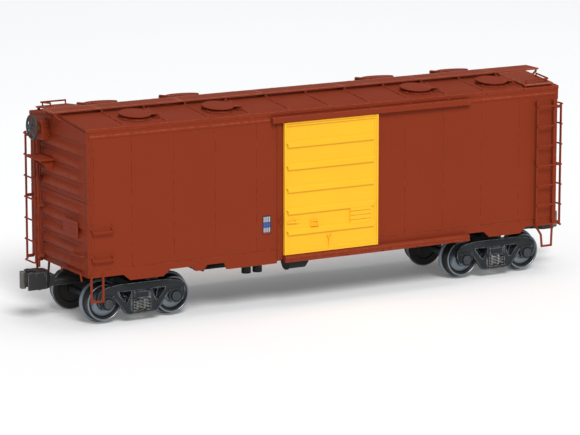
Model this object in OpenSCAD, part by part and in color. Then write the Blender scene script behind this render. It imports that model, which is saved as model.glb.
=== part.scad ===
// Scale model of a 40 foot steel boxcar with eight round roof hatches.
// X runs along the car, Y across it, Z up from the bottoms of the wheel flanges.
// The car is the same after half a turn about Z, apart from its hand brake.

/* [Body] */
// Length over the end sheets
body_len = 256.5; // [230:0.5:310]
// Width over the side sheets
body_w = 60.8; // [56:0.1:74]
// Height of the lower edge of the side sheets
sill_z = 24.8; // [24.8:0.1:28]
// Height of the side sheets, from the sill to the eave lip
side_h = 64.6; // [54:0.1:78]
// Thickness of the side walls
wall_t = 1.4; // [1:0.1:1.8]
// Thickness of the end walls
end_t = 1.4; // [1.2:0.1:2.4]
// Thickness of the floor
floor_t = 1.6; // [1:0.1:2.4]
// Spacing of the vertical seams on the sides
side_pitch = 21.75; // [18:0.05:22]
// Depth and width of a sheet seam
seam = 0.25; // [0.15:0.05:0.4]

/* [Roof] */
// Rise of the roof for each millimetre across
roof_slope = 0.1; // [0.05:0.01:0.16]
// Thickness of the roof
roof_t = 1.2; // [0.8:0.1:1.8]
// Height of the eave, from the side sheets to the roof edge
cornice_h = 4.5; // [3.5:0.1:6]
// Spacing of the roof ribs
roof_pitch = 21.65; // [19:0.05:24]
// Height of a roof rib
rib_h = 0.5; // [0.3:0.1:0.8]
// Diameter of a hatch lid
lid_d = 15.6; // [12:0.1:16]
// Distance of a hatch centre from the ridge
hatch_y = 17.6; // [16.4:0.1:18.4]
// Distance the lid's underside stands off the roof
lid_gap = 1.35; // [1.2:0.05:1.8]
// Thickness of a hatch lid
lid_t = 0.9; // [0.6:0.1:1.4]

/* [Running boards] */
// Width of the running board
board_w = 11.4; // [8:0.1:13]
// Overhang of the running board past the end sheets
board_over = 5.2; // [3:0.1:7]
// Thickness of the gratings
board_t = 0.8; // [0.6:0.1:1.2]
// Gap from the roof ridge to the running board
board_gap = 1.0; // [0.8:0.1:2]
// Length of the lateral platform along the car
lateral_w = 16.2; // [12:0.1:18]

/* [Doors] */
// Width of a door
door_w = 51.3; // [44:0.1:54]
// Distance of the door's middle from the middle of the car
door_x = -0.95; // [-3:0.05:3]
// Thickness of the door sheet
door_t = 1.1; // [0.8:0.1:1.5]
// Height of the door's pressed ribs above its sheet
door_rib = 0.55; // [0.3:0.05:0.8]
// Running gap between door and car side
door_gap = 0.4; // [0.3:0.05:0.8]
// Distance the door opens
door_travel = 49; // [40:1:52]

/* [Ladders and steps] */
// Width of a ladder between its stiles' middles
ladder_w = 9.7; // [8:0.1:11]
// Spacing of the rungs
rung_pitch = 9.8; // [8:0.1:11]
// Distance a ladder stands off its wall
ladder_off = 2.3; // [1.8:0.1:3]
// Radius of rungs, grab irons and other wires
wire_r = 0.4; // [0.3:0.05:0.5]
// Drop of the sill steps below the side sheets
step_drop = 11.2; // [8:0.1:12]

/* [Trucks] */
// Distance between the truck pivots
truck_base = 195.6; // [190:0.5:204]
// Distance between the axles of a truck
wheelbase = 35.3; // [34:0.1:38]
// Diameter of the wheel tread
tread_d = 17.4; // [15.5:0.1:17.6]
// Depth of the wheel flange
flange_h = 1.6; // [1:0.1:1.8]
// Distance between the backs of the wheels
back_gap = 28.6; // [27.5:0.1:29.2]
// Width of the whole wheel
wheel_w = 6.4; // [5.2:0.1:6.6]
// Width of the flange
flange_w = 1.3; // [1:0.1:1.6]
// Radius of the axle
axle_r = 1.6; // [1.2:0.1:2]
// Radius of the axle's journals
journal_r = 1.1; // [0.8:0.1:1.4]
// Radial clearance of a journal in its bearing
journal_play = 0.08; // [0.05:0.01:0.1]
// Radius of the rotating bearing caps
cap_r = 2.2; // [1.8:0.1:2.6]
// Thickness of the sideframes
frame_t = 2.3; // [1.6:0.1:2.6]
// Gap between wheel face and sideframe
frame_gap = 1.1; // [0.8:0.1:1.4]

/* [Couplers] */
// Distance from the truck pivot to the coupler's pulling face
coupler_reach = 50.6; // [47:0.1:56]
// Height of the coupler head
coupler_h = 8.1; // [6:0.1:9]
// Height of the middle of the coupler
coupler_z = 20.25; // [19.6:0.05:21]
// Radius of the knuckle pin
pin_r = 0.6; // [0.4:0.05:0.8]
// Radial clearance of the knuckle on its pin
pin_play = 0.08; // [0.05:0.01:0.1]

/* [Hidden] */
$fn = 48;

red = [0.58, 0.25, 0.19];
yellow = [0.97, 0.72, 0.18];
black = [0.14, 0.15, 0.16];
steel = [0.55, 0.6, 0.65];

// Bend radius of the wire parts
wire_bend = wire_r + 0.3;

// Body levels and half sizes
hl = body_len / 2;
hw = body_w / 2;
lip_z = sill_z + side_h;
eave_z = lip_z + cornice_h;
eave_out = 0.3;
sheet_over = 0.9;
side_hl = hl - sheet_over;
floor_z = sill_z + 1.2;
inner_w = hw - wall_t;
slope_a = atan(roof_slope);
function roof_z(y) = eave_z + (hw + eave_out - abs(y)) * roof_slope;
ridge_z = roof_z(0);

// Doors
door_clear_y = hw + door_gap;
door_out_y = door_clear_y + door_t + door_rib;
door_bottom = sill_z + 0.5;
door_top = lip_z - 0.75;
door_l = door_x - door_w / 2;
door_r = door_x + door_w / 2;
opening_inset = 2.2;
track_out_y = door_out_y + 0.9;

// Running boards and hatches
board_z = ridge_z + board_gap;
board_hl = hl + board_over;
rib_x = [for (k = [-5:5]) k * roof_pitch];
hatch_x = [for (k = [-4.5, -2.5, 2.5, 4.5]) k * roof_pitch];
hinge_off = lid_d / 2 + 1.5;
hinge_up = lid_gap + 0.35;
hinge_r = 0.75;
hinge_pin_r = 0.35;
lateral_l = hl - 3 - lateral_w;

// Trucks
tc = truck_base / 2;
hb = wheelbase / 2;
tread_r = tread_d / 2;
flange_r = tread_r + flange_h;
axle_z = flange_r;
wheel_in = back_gap / 2;
wheel_out = wheel_in + wheel_w;
frame_in = wheel_out + frame_gap;
frame_out = frame_in + frame_t;
pivot_z = axle_z + 10.7;
bolster_hw = 4.2;
center_r = 5;
coupler_lo = coupler_z - coupler_h / 2;
coupler_hi = coupler_z + coupler_h / 2;

// Hand brake on the end at -X
brake_y = 12.5;
brake_z = sill_z + 64.5;
brake_x = -hl - 8;

module box(lo, hi) {
    translate(lo) cube(hi - lo);
}

// A shape and its copy half a turn about the car's middle
module c2() {
    children();
    rotate([0, 0, 180]) children();
}

// A shape and its mirror image across the car
module both_sides() {
    children();
    mirror([0, 1, 0]) children();
}

// A shape and its mirror image along the car
module both_ends() {
    children();
    mirror([1, 0, 0]) children();
}

// Round rod from a to b
module rod(a, b, r) {
    d = b - a;
    len = norm(d);
    translate(a) rotate([0, acos(d[2] / len), atan2(d[1], d[0])]) cylinder(h = len, r = r, $fn = 24);
}

function heading(p, q) = atan2(q[1] - p[1], q[0] - p[0]);
function half_open(a) = a > 180 ? a - 360 : (a < -180 ? a + 360 : a);
function turn_at(p, i) = i == 0 || i == len(p) - 1 ? 0
    : half_open(heading(p[i], p[i + 1]) - heading(p[i - 1], p[i]));

// Round wire through a list of points in the XY plane, with its corners bent to a radius
module wire(pts, r = wire_r, bend = wire_bend) {
    cuts = [for (i = [0:len(pts) - 1]) bend * tan(abs(turn_at(pts, i)) / 2)];
    for (i = [0:len(pts) - 2]) {
        run = norm(pts[i + 1] - pts[i]) - cuts[i] - cuts[i + 1];
        translate(pts[i]) rotate(heading(pts[i], pts[i + 1])) translate([cuts[i], 0, 0])
            rotate([0, 90, 0]) cylinder(h = run, r = r, $fn = 24);
    }
    for (i = [1:len(pts) - 2]) {
        a = heading(pts[i - 1], pts[i]);
        left = turn_at(pts, i) > 0;
        side = left ? 1 : -1;
        translate(pts[i] - cuts[i] * [cos(a), sin(a)] + side * bend * [-sin(a), cos(a)])
            rotate(left ? a - 90 : a + 90 + turn_at(pts, i))
            rotate_extrude(angle = abs(turn_at(pts, i))) translate([bend, 0]) circle(r = r, $fn = 24);
    }
}

function unit(v) = v / norm(v);
function left_of(p, i) = let (d = unit(p[i + 1] - p[i])) [-d[1], d[0]];
function mitre(p, i, h) = i == 0 ? p[0] + h * left_of(p, 0)
    : i == len(p) - 1 ? p[i] + h * left_of(p, i - 1)
    : let (m = unit(left_of(p, i - 1) + left_of(p, i))) p[i] + h / (m * left_of(p, i)) * m;

// Flat strap along a list of points in its own plane, with mitred corners
module strap2d(pts, w) {
    last = len(pts) - 1;
    polygon(concat([for (i = [0:last]) mitre(pts, i, w / 2)], [for (i = [last:-1:0]) mitre(pts, i, -w / 2)]));
}

// Outline in X and Z, extruded across the car from y0 to y1
module slab_xz(y0, y1) {
    translate([0, y1, 0]) rotate([90, 0, 0]) linear_extrude(y1 - y0) children();
}

// Outline in Y and Z, extruded along the car from x0 to x1
module slab_yz(x0, x1) {
    translate([x0, 0, 0]) rotate([90, 0, 90]) linear_extrude(x1 - x0) children();
}

// Places a shape on the roof, its Z along the roof's normal, on the side at -Y
module on_roof(x, y) {
    translate([x, -y, roof_z(y)]) rotate([slope_a, 0, 0]) children();
}

// Near side hatches first, then the far side ones in the same order after the half turn
module at_hatch(i) {
    if (i <= 4) on_roof(hatch_x[i - 1], hatch_y) children();
    if (i > 4) rotate([0, 0, 180]) on_roof(hatch_x[i - 5], hatch_y) children();
}

// Body shell

module floor() {
    color(black) box([-hl + end_t, -inner_w, floor_z], [hl - end_t, inner_w, floor_z + floor_t]);
}

tab_h = 2.9;
tab_t = 1;

// Sill tab as a trapezoid below the side sheet
module sill_tab(x0, x1, drop, cut) {
    slab_xz(-hw, -hw + tab_t)
        polygon([[x0, sill_z], [x1, sill_z], [x1 - cut, sill_z - drop], [x0 + cut, sill_z - drop]]);
}

module side_seam(x) {
    box([x - seam / 2, -hw - 1, sill_z + 3.2], [x + seam / 2, -hw + seam, lip_z + 1]);
}

// One side wall with its door opening, standing at -Y
module side_wall() {
    difference() {
        union() {
            box([-side_hl, -hw, sill_z], [side_hl, -inner_w, lip_z]);
            sill_tab(-tc - 12.6, -tc + 11.6, tab_h, 3.6);
            sill_tab(tc - 11.8, tc + 12.8, tab_h, 3.4);
            sill_tab(door_l - 48.3, door_l - 40.1, tab_h - 0.5, 2.2);
            slab_xz(-hw, -hw + tab_t)
                polygon([[door_l - 31.3, sill_z], [door_l - 3, sill_z],
                    [door_l - 3, sill_z - tab_h - 0.4], [door_l - 29.8, sill_z - tab_h - 0.4]]);
        }
        box([door_l + opening_inset, -hw - 1, floor_z + floor_t], [door_r - opening_inset, -inner_w + 1,
            door_top - 0.6]);
        for (k = [0:3]) {
            side_seam(-40.6 - k * side_pitch);
            side_seam(40.6 + k * side_pitch);
        }
        box([-side_hl - 1, -hw - 1, sill_z + 3.2], [door_l - 2, -hw + seam, sill_z + 3.2 + seam]);
        box([door_r + 2, -hw - 1, sill_z + 3.2], [side_hl + 1, -hw + seam, sill_z + 3.2 + seam]);
        for (s = [-1, 1])
            box([s * (hl - 3.1) - seam / 2, -hw - 1, sill_z - 1], [s * (hl - 3.1) + seam / 2, -hw + seam,
                lip_z + 1]);
    }
}

module side_near() {
    color(red) side_wall();
}

module side_far() {
    color(red) rotate([0, 0, 180]) side_wall();
}

rib_rise = 1.1;
rib_half = 2.3;
end_rib_z = concat([for (k = [0:4]) sill_z + 5 + k * 6.4], [for (k = [0:3]) sill_z + 39.2 + k * 6.3]);

// Pressed rib across an end, tapered to nothing at both sides
module end_rib(z) {
    intersection() {
        slab_xz(-hw + 3, hw - 3)
            polygon([[hl - 0.3, z - rib_half], [hl, z - rib_half], [hl + rib_rise * 0.75, z - rib_half + 0.7],
                [hl + rib_rise, z - 0.6], [hl + rib_rise * 0.9, z + 0.6], [hl, z + rib_half],
                [hl - 0.3, z + rib_half]]);
        translate([0, 0, z - 3]) linear_extrude(6)
            polygon([[hl - 0.3, -hw + 3], [hl, -hw + 3], [hl + rib_rise + 0.05, -hw + 9],
                [hl + rib_rise + 0.05, hw - 9], [hl, hw - 3], [hl - 0.3, hw - 3]]);
    }
}

// Outline of an end wall under the roof, w wide each way
module end_outline(w, corner_z) {
    polygon([[-w, sill_z], [w, sill_z], [w, corner_z], [inner_w, corner_z],
        [inner_w, roof_z(inner_w) - roof_t], [0, ridge_z - roof_t], [-inner_w, roof_z(inner_w) - roof_t],
        [-inner_w, corner_z], [-w, corner_z]]);
}

// One end wall, standing at +X
module end_wall() {
    difference() {
        union() {
            slab_yz(side_hl, hl) end_outline(hw - 0.25, eave_z - 1.6);
            slab_yz(hl - end_t, side_hl) end_outline(inner_w, eave_z - 1.6);
            for (z = end_rib_z) end_rib(z);
            slab_yz(hl, hl + 0.35)
                polygon([[-hw + 0.25, lip_z - 2.4], [hw - 0.25, lip_z - 2.4], [hw - 0.25, eave_z - 1.6],
                    [inner_w, eave_z - 1.6], [0, ridge_z - roof_t - 0.1], [-inner_w, eave_z - 1.6],
                    [-hw + 0.25, eave_z - 1.6]]);
        }
        box([hl - seam, -hw, sill_z + 34.6], [hl + 1, hw, sill_z + 34.6 + seam]);
        both_sides() box([hl - seam, hw - 2.4, sill_z - 1], [hl + 0.2, hw - 2.4 + seam, lip_z - 2.4]);
    }
}

// Pieces that stand on the end wall at +X, cut where they meet its ribs
module on_end_wall() {
    difference() {
        children();
        end_wall();
    }
}

module end_plain() {
    color(red) end_wall();
}

module end_brake() {
    color(red) rotate([0, 0, 180]) end_wall();
}

// Pieces that stand on the end wall at -X
module on_brake_end() {
    difference() {
        children();
        rotate([0, 0, 180]) end_wall();
    }
}

coaming_r = lid_d / 2 - 0.8;
coaming_t = 0.8;

module roof() {
    color(red) difference() {
        union() {
            slab_yz(-hl - 0.25, hl + 0.25)
                polygon([[-hw - eave_out, eave_z - 1.6], [-hw - eave_out, eave_z], [0, ridge_z],
                    [hw + eave_out, eave_z], [hw + eave_out, eave_z - 1.6], [inner_w, eave_z - 1.6],
                    [inner_w, roof_z(inner_w) - roof_t], [0, ridge_z - roof_t],
                    [-inner_w, roof_z(inner_w) - roof_t], [-inner_w, eave_z - 1.6]]);
            both_sides() slab_yz(-side_hl, side_hl)
                polygon([[inner_w, lip_z], [hw + eave_out, lip_z], [hw + eave_out, lip_z + 0.9],
                    [hw, lip_z + 1.2], [hw, eave_z - 1.5], [inner_w, eave_z - 1.5]]);
            for (x = rib_x) slab_yz(x - 0.5, x + 0.5)
                polygon([[-hw + 2, roof_z(hw - 2) - 0.1], [-hw + 2.6, roof_z(hw - 2.6) + rib_h],
                    [0, ridge_z + rib_h], [hw - 2.6, roof_z(hw - 2.6) + rib_h],
                    [hw - 2, roof_z(hw - 2) - 0.1]]);
        }
        for (i = [1:8]) at_hatch(i) cylinder(r = coaming_r - coaming_t, h = 6, center = true);
        for (x = rib_x) both_sides()
            box([x - 0.25, hw - 0.2, eave_z - 1.7], [x + 0.25, hw + eave_out + 1, eave_z + 1]);
    }
}

ear_y = 4.6;
ear_t = 1;

// Raised ring round a hatch, with the hinge ears on its +X side
module coaming() {
    difference() {
        union() {
            cylinder(r = coaming_r, h = lid_gap - 0.35);
            cylinder(r = coaming_r + 0.7, h = 0.35);
            box([hinge_off - 1.5, -ear_y - ear_t, 0], [hinge_off + 0.9, ear_y + ear_t, 0.6]);
        }
        translate([0, 0, -1]) cylinder(r = coaming_r - coaming_t, h = 6);
    }
    difference() {
        for (s = [-1, 1]) translate([hinge_off, s * (ear_y + ear_t / 2), 0]) {
            translate([0, 0, hinge_up]) rotate([90, 0, 0]) cylinder(r = hinge_r, h = ear_t, center = true);
            box([-hinge_r, -ear_t / 2, 0.3], [hinge_r, ear_t / 2, hinge_up]);
        }
        translate([hinge_off, 0, hinge_up]) rotate([90, 0, 0])
            cylinder(r = hinge_pin_r + pin_play, h = 20, center = true);
    }
}

module hatch_coamings() {
    color(red) for (i = [1:8]) at_hatch(i) coaming();
}

// One lid, with its hinge leaf, barrel and pin
module hatch_lid() {
    leaf_y = ear_y - 0.25;
    color(red) translate([0, 0, lid_gap]) {
        cylinder(r1 = lid_d / 2 - 0.25, r2 = lid_d / 2, h = lid_t * 0.4);
        translate([0, 0, lid_t * 0.4]) cylinder(r = lid_d / 2, h = lid_t * 0.35);
        translate([0, 0, lid_t * 0.75]) cylinder(r1 = lid_d / 2, r2 = lid_d / 2 - 0.4, h = lid_t * 0.25);
        box([lid_d / 2 - 2.4, -leaf_y, 0.05], [hinge_off, leaf_y, lid_t * 0.75]);
    }
    color(red) translate([hinge_off, 0, hinge_up]) rotate([90, 0, 0]) {
        cylinder(r = hinge_r, h = 2 * leaf_y, center = true);
        cylinder(r = hinge_pin_r, h = 2 * (ear_y + ear_t), center = true);
    }
}

// Running boards

module running_board() {
    color(red) box([-board_hl, -board_w / 2, board_z], [board_hl, board_w / 2, board_z + board_t]);
}

// Saddle between a roof rib and the running board
module board_saddle(x) {
    w = board_w / 2 - 0.2;
    slab_yz(x - 0.5, x + 0.5) difference() {
        polygon([[-w, roof_z(w) + rib_h], [0, ridge_z + rib_h], [w, roof_z(w) + rib_h], [w, board_z],
            [-w, board_z]]);
        for (s = [-1, 1]) translate([s > 0 ? 1.2 : 1.2 - w, ridge_z + rib_h])
            square([w - 2.4, board_gap - rib_h - 0.2]);
    }
}

// Post that carries the lateral platform off the roof
module lateral_post(x, y, h) {
    on_roof(x, y) box([-0.5, -0.7, 0], [0.5, 0.7, h]);
}

module board_brackets() {
    color(red) {
        for (x = rib_x) board_saddle(x);
        c2() both_sides() slab_xz(board_w / 2 - 1.5, board_w / 2 - 0.5) difference() {
            strap2d([[board_hl - 1.2, board_z], [board_hl - 1.2, board_z - 0.9], [hl - 0.2, eave_z + 0.2]], 0.7);
            translate([hl - 2, eave_z - 3]) square([2.35, 8]);
        }
        c2() for (x = [lateral_l + 0.9, lateral_l + lateral_w - 0.9]) for (y = [9, 18, hw - 1.6])
            lateral_post(x, y, lateral_gap);
    }
}

lateral_gap = (board_gap + 0.1) * cos(slope_a) - 0.15;

// Sloping platform from the running board to the eave, above the ladder at +X and -Y
module lateral_boards() {
    color(red) c2() difference() {
        on_roof(lateral_l, 0) translate([0, -hw, lateral_gap]) cube([lateral_w, hw, board_t]);
        box([0, -board_w / 2 - 0.3, ridge_z - 5], [hl + 10, hw, ridge_z + 10]);
    }
}

// Ladders, grab irons and steps

// Rung between two stiles at y = 0, bowed out by d
module rung(w, z, d) {
    translate([0, 0, z]) wire([[-w / 2, 0], [-w / 2, -d], [w / 2, -d], [w / 2, 0]]);
}

// Ladder in the XZ plane, its feet on the wall at y = off
module ladder(z0, z1, rungs, top_rung, pitch, off) {
    for (s = [-1, 1]) {
        box([s * ladder_w / 2 - 0.5, -0.35, z0], [s * ladder_w / 2 + 0.5, 0.35, z1]);
        for (z = [z0 + 1.4, (z0 + z1) / 2, z1 - 1.8])
            box([s * ladder_w / 2 - 0.35, 0.3, z - 0.7], [s * ladder_w / 2 + 0.35, off, z + 0.7]);
    }
    for (i = [0:rungs - 1]) rung(ladder_w, top_rung - i * pitch, 1.1);
}

ladder_x = hl - 8.4;

module side_ladders() {
    color(red) c2() translate([ladder_x, -hw - ladder_off, 0])
        ladder(sill_z + 1, lip_z - 1.6, 7, lip_z - 4.9, rung_pitch, ladder_off);
}

end_ladder_y = hw - 2.2 - ladder_w / 2;
end_stile_y = end_ladder_y - ladder_w / 2;
end_ladder_off = ladder_off + 1.2;

module end_ladders() {
    color(red) c2() on_end_wall() translate([hl + end_ladder_off, -end_ladder_y, 0]) rotate([0, 0, 90])
        ladder(sill_z - 1.2, sill_z + 60, 7, sill_z + 59.3, rung_pitch + 0.3, end_ladder_off);
}

grab_l = 10.2;
grab_off = 2.8;
grab_tilt = 38;

// U shaped grab iron standing off the wall at y = 0 and hanging at an angle
module drop_grab(length, off, tilt) {
    rotate([tilt, 0, 0]) wire([[0, 0.3], [0, -off], [length, -off], [length, 0.3]]);
}

grab_h = 1.7;

// L shaped grab iron on the lateral platform, with a leg at each end and at its corner
module roof_grab() {
    top = lateral_gap + board_t + grab_h;
    run = lateral_w - 3;
    reach = 11;
    on_roof(lateral_l + 1, hw - 1.5) {
        translate([0, 0, top]) wire([[0, 0], [run, 0], [run, reach]]);
        for (p = [[0.3, 0], [run - 1, 0], [run, reach - 0.3]])
            translate([p[0], p[1], top - grab_h]) cylinder(h = grab_h, r = wire_r - 0.06, $fn = 24);
    }
}

module grab_irons() {
    color(red) c2() {
        difference() {
            for (z = [9.9, 23]) translate([-hl + 1.8, -hw, sill_z + z]) drop_grab(grab_l, grab_off, grab_tilt);
            box([-hl, -hw, sill_z], [0, -inner_w, lip_z]);
        }
        roof_grab();
        on_end_wall() translate([hl, 17.5, sill_z + 9.9]) rotate([0, 0, 90]) drop_grab(grab_l, 2.6, 0);
    }
}

step_w = 0.95;
step_z = sill_z - step_drop;

module sill_steps() {
    color(red) c2() {
        slab_xz(-hw - 0.75, -hw)
            strap2d([[-hl + 1.2, sill_z + 1.4], [-hl + 1.2, step_z], [-hl + 7.2, step_z],
                [-hl + 7.2, sill_z + 1.4]], step_w);
        slab_xz(-hw - 0.75, -hw)
            strap2d([[hl - 13, sill_z + 1.2], [hl - 9, sill_z - 4.7], [hl - 8.4, step_z + 0.6],
                [hl - 2.9, step_z + 0.6], [hl - 2.5, sill_z + 1.2]], step_w);
    }
}

// Hand brake and end fittings

wheel_rim = 6;

module brake_wheel() {
    color(black) translate([brake_x, brake_y, brake_z]) rotate([0, 90, 0]) {
        rotate_extrude() translate([wheel_rim - 0.55, 0]) circle(r = 0.55, $fn = 24);
        for (a = [0:60:300]) rotate(a) rod([1, 0, 0.7], [wheel_rim - 0.6, 0, 0], 0.42);
        translate([0, 0, -0.4]) cylinder(r = 1.3, h = 2);
    }
}

module brake_gear() {
    color(red) on_brake_end() {
        translate([0, brake_y - 0.6, brake_z]) slab_yz(-hl - 4.2, -hl)
            polygon([[-3.2, -6], [3.2, -6], [3.8, -2], [2.6, 3], [-2.6, 3], [-3.8, -2]]);
        translate([-hl - 4.3, brake_y, brake_z]) rotate([0, -90, 0]) cylinder(r = 0.7, h = 2.1);
        rod([-hl - 3.3, brake_y + 2.9, sill_z - 2.8], [-hl - 3.3, brake_y + 2.9, brake_z - 4], 0.5);
        for (z = [sill_z + 2, sill_z + 26])
            box([-hl - 3.4, brake_y + 2.4, z], [-hl, brake_y + 3.4, z + 1]);
    }
}

platform_z = sill_z + 49.6;

module brake_platform() {
    color(red) on_brake_end() {
        difference() {
            box([-hl - 7.8, 3.4, platform_z], [-hl, 20.2, platform_z + 0.9]);
            translate([-hl - 3.3, brake_y + 2.9, platform_z - 1]) cylinder(r = 0.8, h = 3);
            box([-hl - end_ladder_off - 1.8, end_stile_y - 0.7, platform_z - 1],
                [-hl - end_ladder_off + 0.6, hw, platform_z + 2]);
        }
        for (y = [5.2, 14]) slab_xz(y - 0.4, y + 0.4)
            polygon([[-hl, platform_z], [-hl - 7, platform_z], [-hl - 7, platform_z - 0.8],
                [-hl, platform_z - 6]]);
    }
}

pipe_y = brake_y + 4.2;

module retainer_line() {
    color(red) on_brake_end() {
        rod([-hl - 1.5, pipe_y, sill_z], [-hl - 1.5, pipe_y, platform_z - 0.2], 0.35);
        rod([-hl - 1.5, pipe_y, platform_z + 1.1], [-hl - 1.5, pipe_y, lip_z - 4], 0.35);
        translate([-hl - 1.7, pipe_y, sill_z + 38]) cylinder(r = 0.9, h = 2.4);
        for (z = [sill_z + 8, sill_z + 45, lip_z - 8])
            box([-hl - 1.5, pipe_y - 0.35, z], [-hl, pipe_y + 0.35, z + 0.8]);
    }
}

// Placard board on its two battens, in the plane of an end at +X
module end_board(y0, y1, z0, z1) {
    difference() {
        box([hl + 1.3, y0, z0], [hl + 2.1, y1, z1]);
        for (k = [1:3]) box([hl + 1.95, y0 - 1, z0 + k * (z1 - z0) / 4 - 0.1],
            [hl + 3, y1 + 1, z0 + k * (z1 - z0) / 4 + 0.1]);
    }
    for (y = [y0 + 2, y1 - 3]) box([hl, y, z0 + 1], [hl + 1.3, y + 1, z1 - 1]);
}

module tack_boards() {
    color(red) c2() on_end_wall() end_board(8.3, 22.8, sill_z + 17.4, sill_z + 25.3);
}

lever_z = sill_z + 1.6;

// Uncoupling rod across an end at +X, with its handle at the corner and its drop above the coupler
module uncoupling_levers() {
    color(red) c2() translate([hl + 1.6, 0, lever_z]) {
        rotate([90, 0, 90]) wire([[26.5, -3.4], [25, 0], [5, 0], [5, -2.4]]);
        for (y = [9, 22]) box([-1.6, y - 0.5, -0.3], [-0.2, y + 0.5, 0.3]);
    }
}

// Doors and their tracks

track_l = door_l - 6.5;
track_r = door_r + door_travel + 2.5;
tongue_y = door_clear_y + door_t / 2;

module upper_tracks() {
    color(red) c2() difference() {
        box([track_l, -track_out_y + 0.2, lip_z - 0.45], [track_r - 0.5, -hw, lip_z]);
        box([track_l - 1, -tongue_y - 0.45, lip_z - 1], [track_r, -tongue_y + 0.45, lip_z - 0.2]);
    }
    color(red) c2() box([track_l, -track_out_y + 0.2, lip_z], [track_r - 0.5, -hw - eave_out, lip_z + 2.2]);
}

module lower_tracks() {
    color(red) c2() {
        slab_yz(door_l, track_r)
            polygon([[-hw, sill_z + 0.2], [-hw, sill_z - 0.8], [-hw - 1.6, sill_z - 3], [-track_out_y, sill_z - 3],
                [-track_out_y, sill_z - 2], [-track_out_y + 0.5, sill_z - 0.8],
                [-track_out_y + 0.5, sill_z + 0.2]]);
    }
}

module door_posts() {
    color(red) c2() {
        box([door_l - 3, -hw - 0.5, sill_z - 1.8], [door_l - 0.4, -hw, lip_z - 0.5]);
        box([door_l - 2.4, -hw - 1.3, sill_z + 15.2], [door_l - 1, -hw - 0.5, sill_z + 17.4]);
    }
}

rib_tops = [54.8, 44.1, 33.3, 22.8, 12.8];

// One door, with its frame, pressed ribs, placard board, handle and latch, standing at -Y
module door() {
    face = -door_clear_y - door_t;
    zr = sill_z;
    color(yellow) {
        box([door_l, face, door_bottom], [door_r, -door_clear_y, door_top]);
        box([door_l + 1, -tongue_y - 0.25, door_top], [door_r - 1, -tongue_y + 0.25, door_top + 0.3]);
        for (x = [door_l, door_r - 1.8])
            box([x, face - door_rib, door_bottom], [x + 1.8, face, door_top]);
        for (z = [door_bottom, door_top - 1.8])
            box([door_l, face - door_rib, z], [door_r, face, z + 1.8]);
        for (z = rib_tops) slab_xz(face - door_rib, face) difference() {
            polygon([[door_l + 3, zr + z - 2.6], [door_l + 4.6, zr + z - 3.1], [door_r - 4.6, zr + z - 3.1],
                [door_r - 3, zr + z - 2.6], [door_r - 3, zr + z - 0.5], [door_r - 4.6, zr + z],
                [door_l + 4.6, zr + z], [door_l + 3, zr + z - 0.5]]);
            translate([door_r - 16, zr + 11.4]) square([13.6, 9.4]);
        }
        box([door_r - 15.5, face - door_rib - 0.3, zr + 11.9], [door_r - 3.7, face, zr + 20.2]);
        box([door_l + 14.2, face - 1.2, zr + 12.8], [door_l + 18.6, face, zr + 16.2]);
        box([door_l + 3.6, face - 1.1, zr + 14.5], [door_l + 8.9, face, zr + 16.4]);
        box([door_l + 24, face - 0.9, door_bottom], [door_l + 25.2, face, zr + 8.3]);
    }
}

module door_near() {
    door();
}

module door_far() {
    rotate([0, 0, 180]) door();
}

// Underframe and air brake

sill_hw = 5;
sill_low = 16.6;

module underframe() {
    color(black) {
        box([-hl + 8, -sill_hw, pivot_z + 1.3], [hl - 8, sill_hw, floor_z]);
        slab_xz(-sill_hw, sill_hw)
            polygon([[-tc + 32, pivot_z + 1.4], [-tc + 38, sill_low], [tc - 38, sill_low], [tc - 32, pivot_z + 1.4]]);
        for (s = [-1, 1]) {
            box([s * tc - 3, -hw + tab_t + 0.4, pivot_z + 1.3], [s * tc + 3, hw - tab_t - 0.4, floor_z]);
            translate([s * tc, 0, pivot_z + 0.3]) cylinder(r = center_r, h = 1.5);
            translate([s * tc, 0, pivot_z - 2.4]) cylinder(r = 1.2, h = 4);
        }
        for (x = [-54, -20, 20, 54]) both_sides() slab_yz(x - 0.5, x + 0.5)
            polygon([[sill_hw, floor_z], [hw - 1.6, floor_z], [hw - 1.6, floor_z - 3], [sill_hw, sill_low + 1]]);
    }
}

tank_z = 17.6;

module brake_cylinder() {
    color(black) translate([-14, -12, tank_z]) rotate([0, 90, 0]) {
        cylinder(r = 3.9, h = 9);
        translate([0, 0, 9]) cylinder(r1 = 3.9, r2 = 1.6, h = 2.4);
        translate([0, 0, -1]) cylinder(r = 4.3, h = 1);
        cylinder(r = 0.6, h = 16);
        box([tank_z - floor_z, -1, 3], [-3.5, 1, 6]);
    }
}

module air_reservoir() {
    color(black) translate([-17.5, 13, tank_z]) rotate([0, 90, 0]) {
        cylinder(r = 4, h = 18);
        translate([0, 0, 18]) cylinder(r1 = 4, r2 = 2.4, h = 1.4);
        translate([0, 0, -1.4]) cylinder(r1 = 2.4, r2 = 4, h = 1.4);
        for (z = [4, 13]) box([tank_z - floor_z, -2, z], [-3, -1, z + 1]);
    }
}

module control_valve() {
    color(black) {
        box([-38.4, -14, 19], [-27.4, -9, 23.4]);
        for (x = [-36, -30]) translate([x, -11.6, 14]) cylinder(r = 2.3, h = 6);
        box([-34.4, -13, 23], [-31.4, -10, floor_z]);
    }
}

// Brake rods from the cylinder's piston to the trucks, pinned to two hanging levers
module brake_rods() {
    color(black) translate([0, 0, tank_z]) {
        rod([2, -12, 0], [14, -11, 0], 0.45);
        rod([14, -11, 0], [58, -7.5, 0], 0.45);
        rod([-24, -9, 0], [-62, -7.5, 0], 0.45);
        translate([14, -11, -0.9]) cylinder(r = 0.9, h = 1.8);
        for (x = [-58, 45]) box([x - 0.6, -9.4, -0.9], [x + 0.6, -6.9, floor_z - tank_z]);
    }
}

// Trucks, drawn about their own pivot with the coupler towards -X

module at_truck_a() {
    translate([-tc, 0, 0]) children();
}

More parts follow.
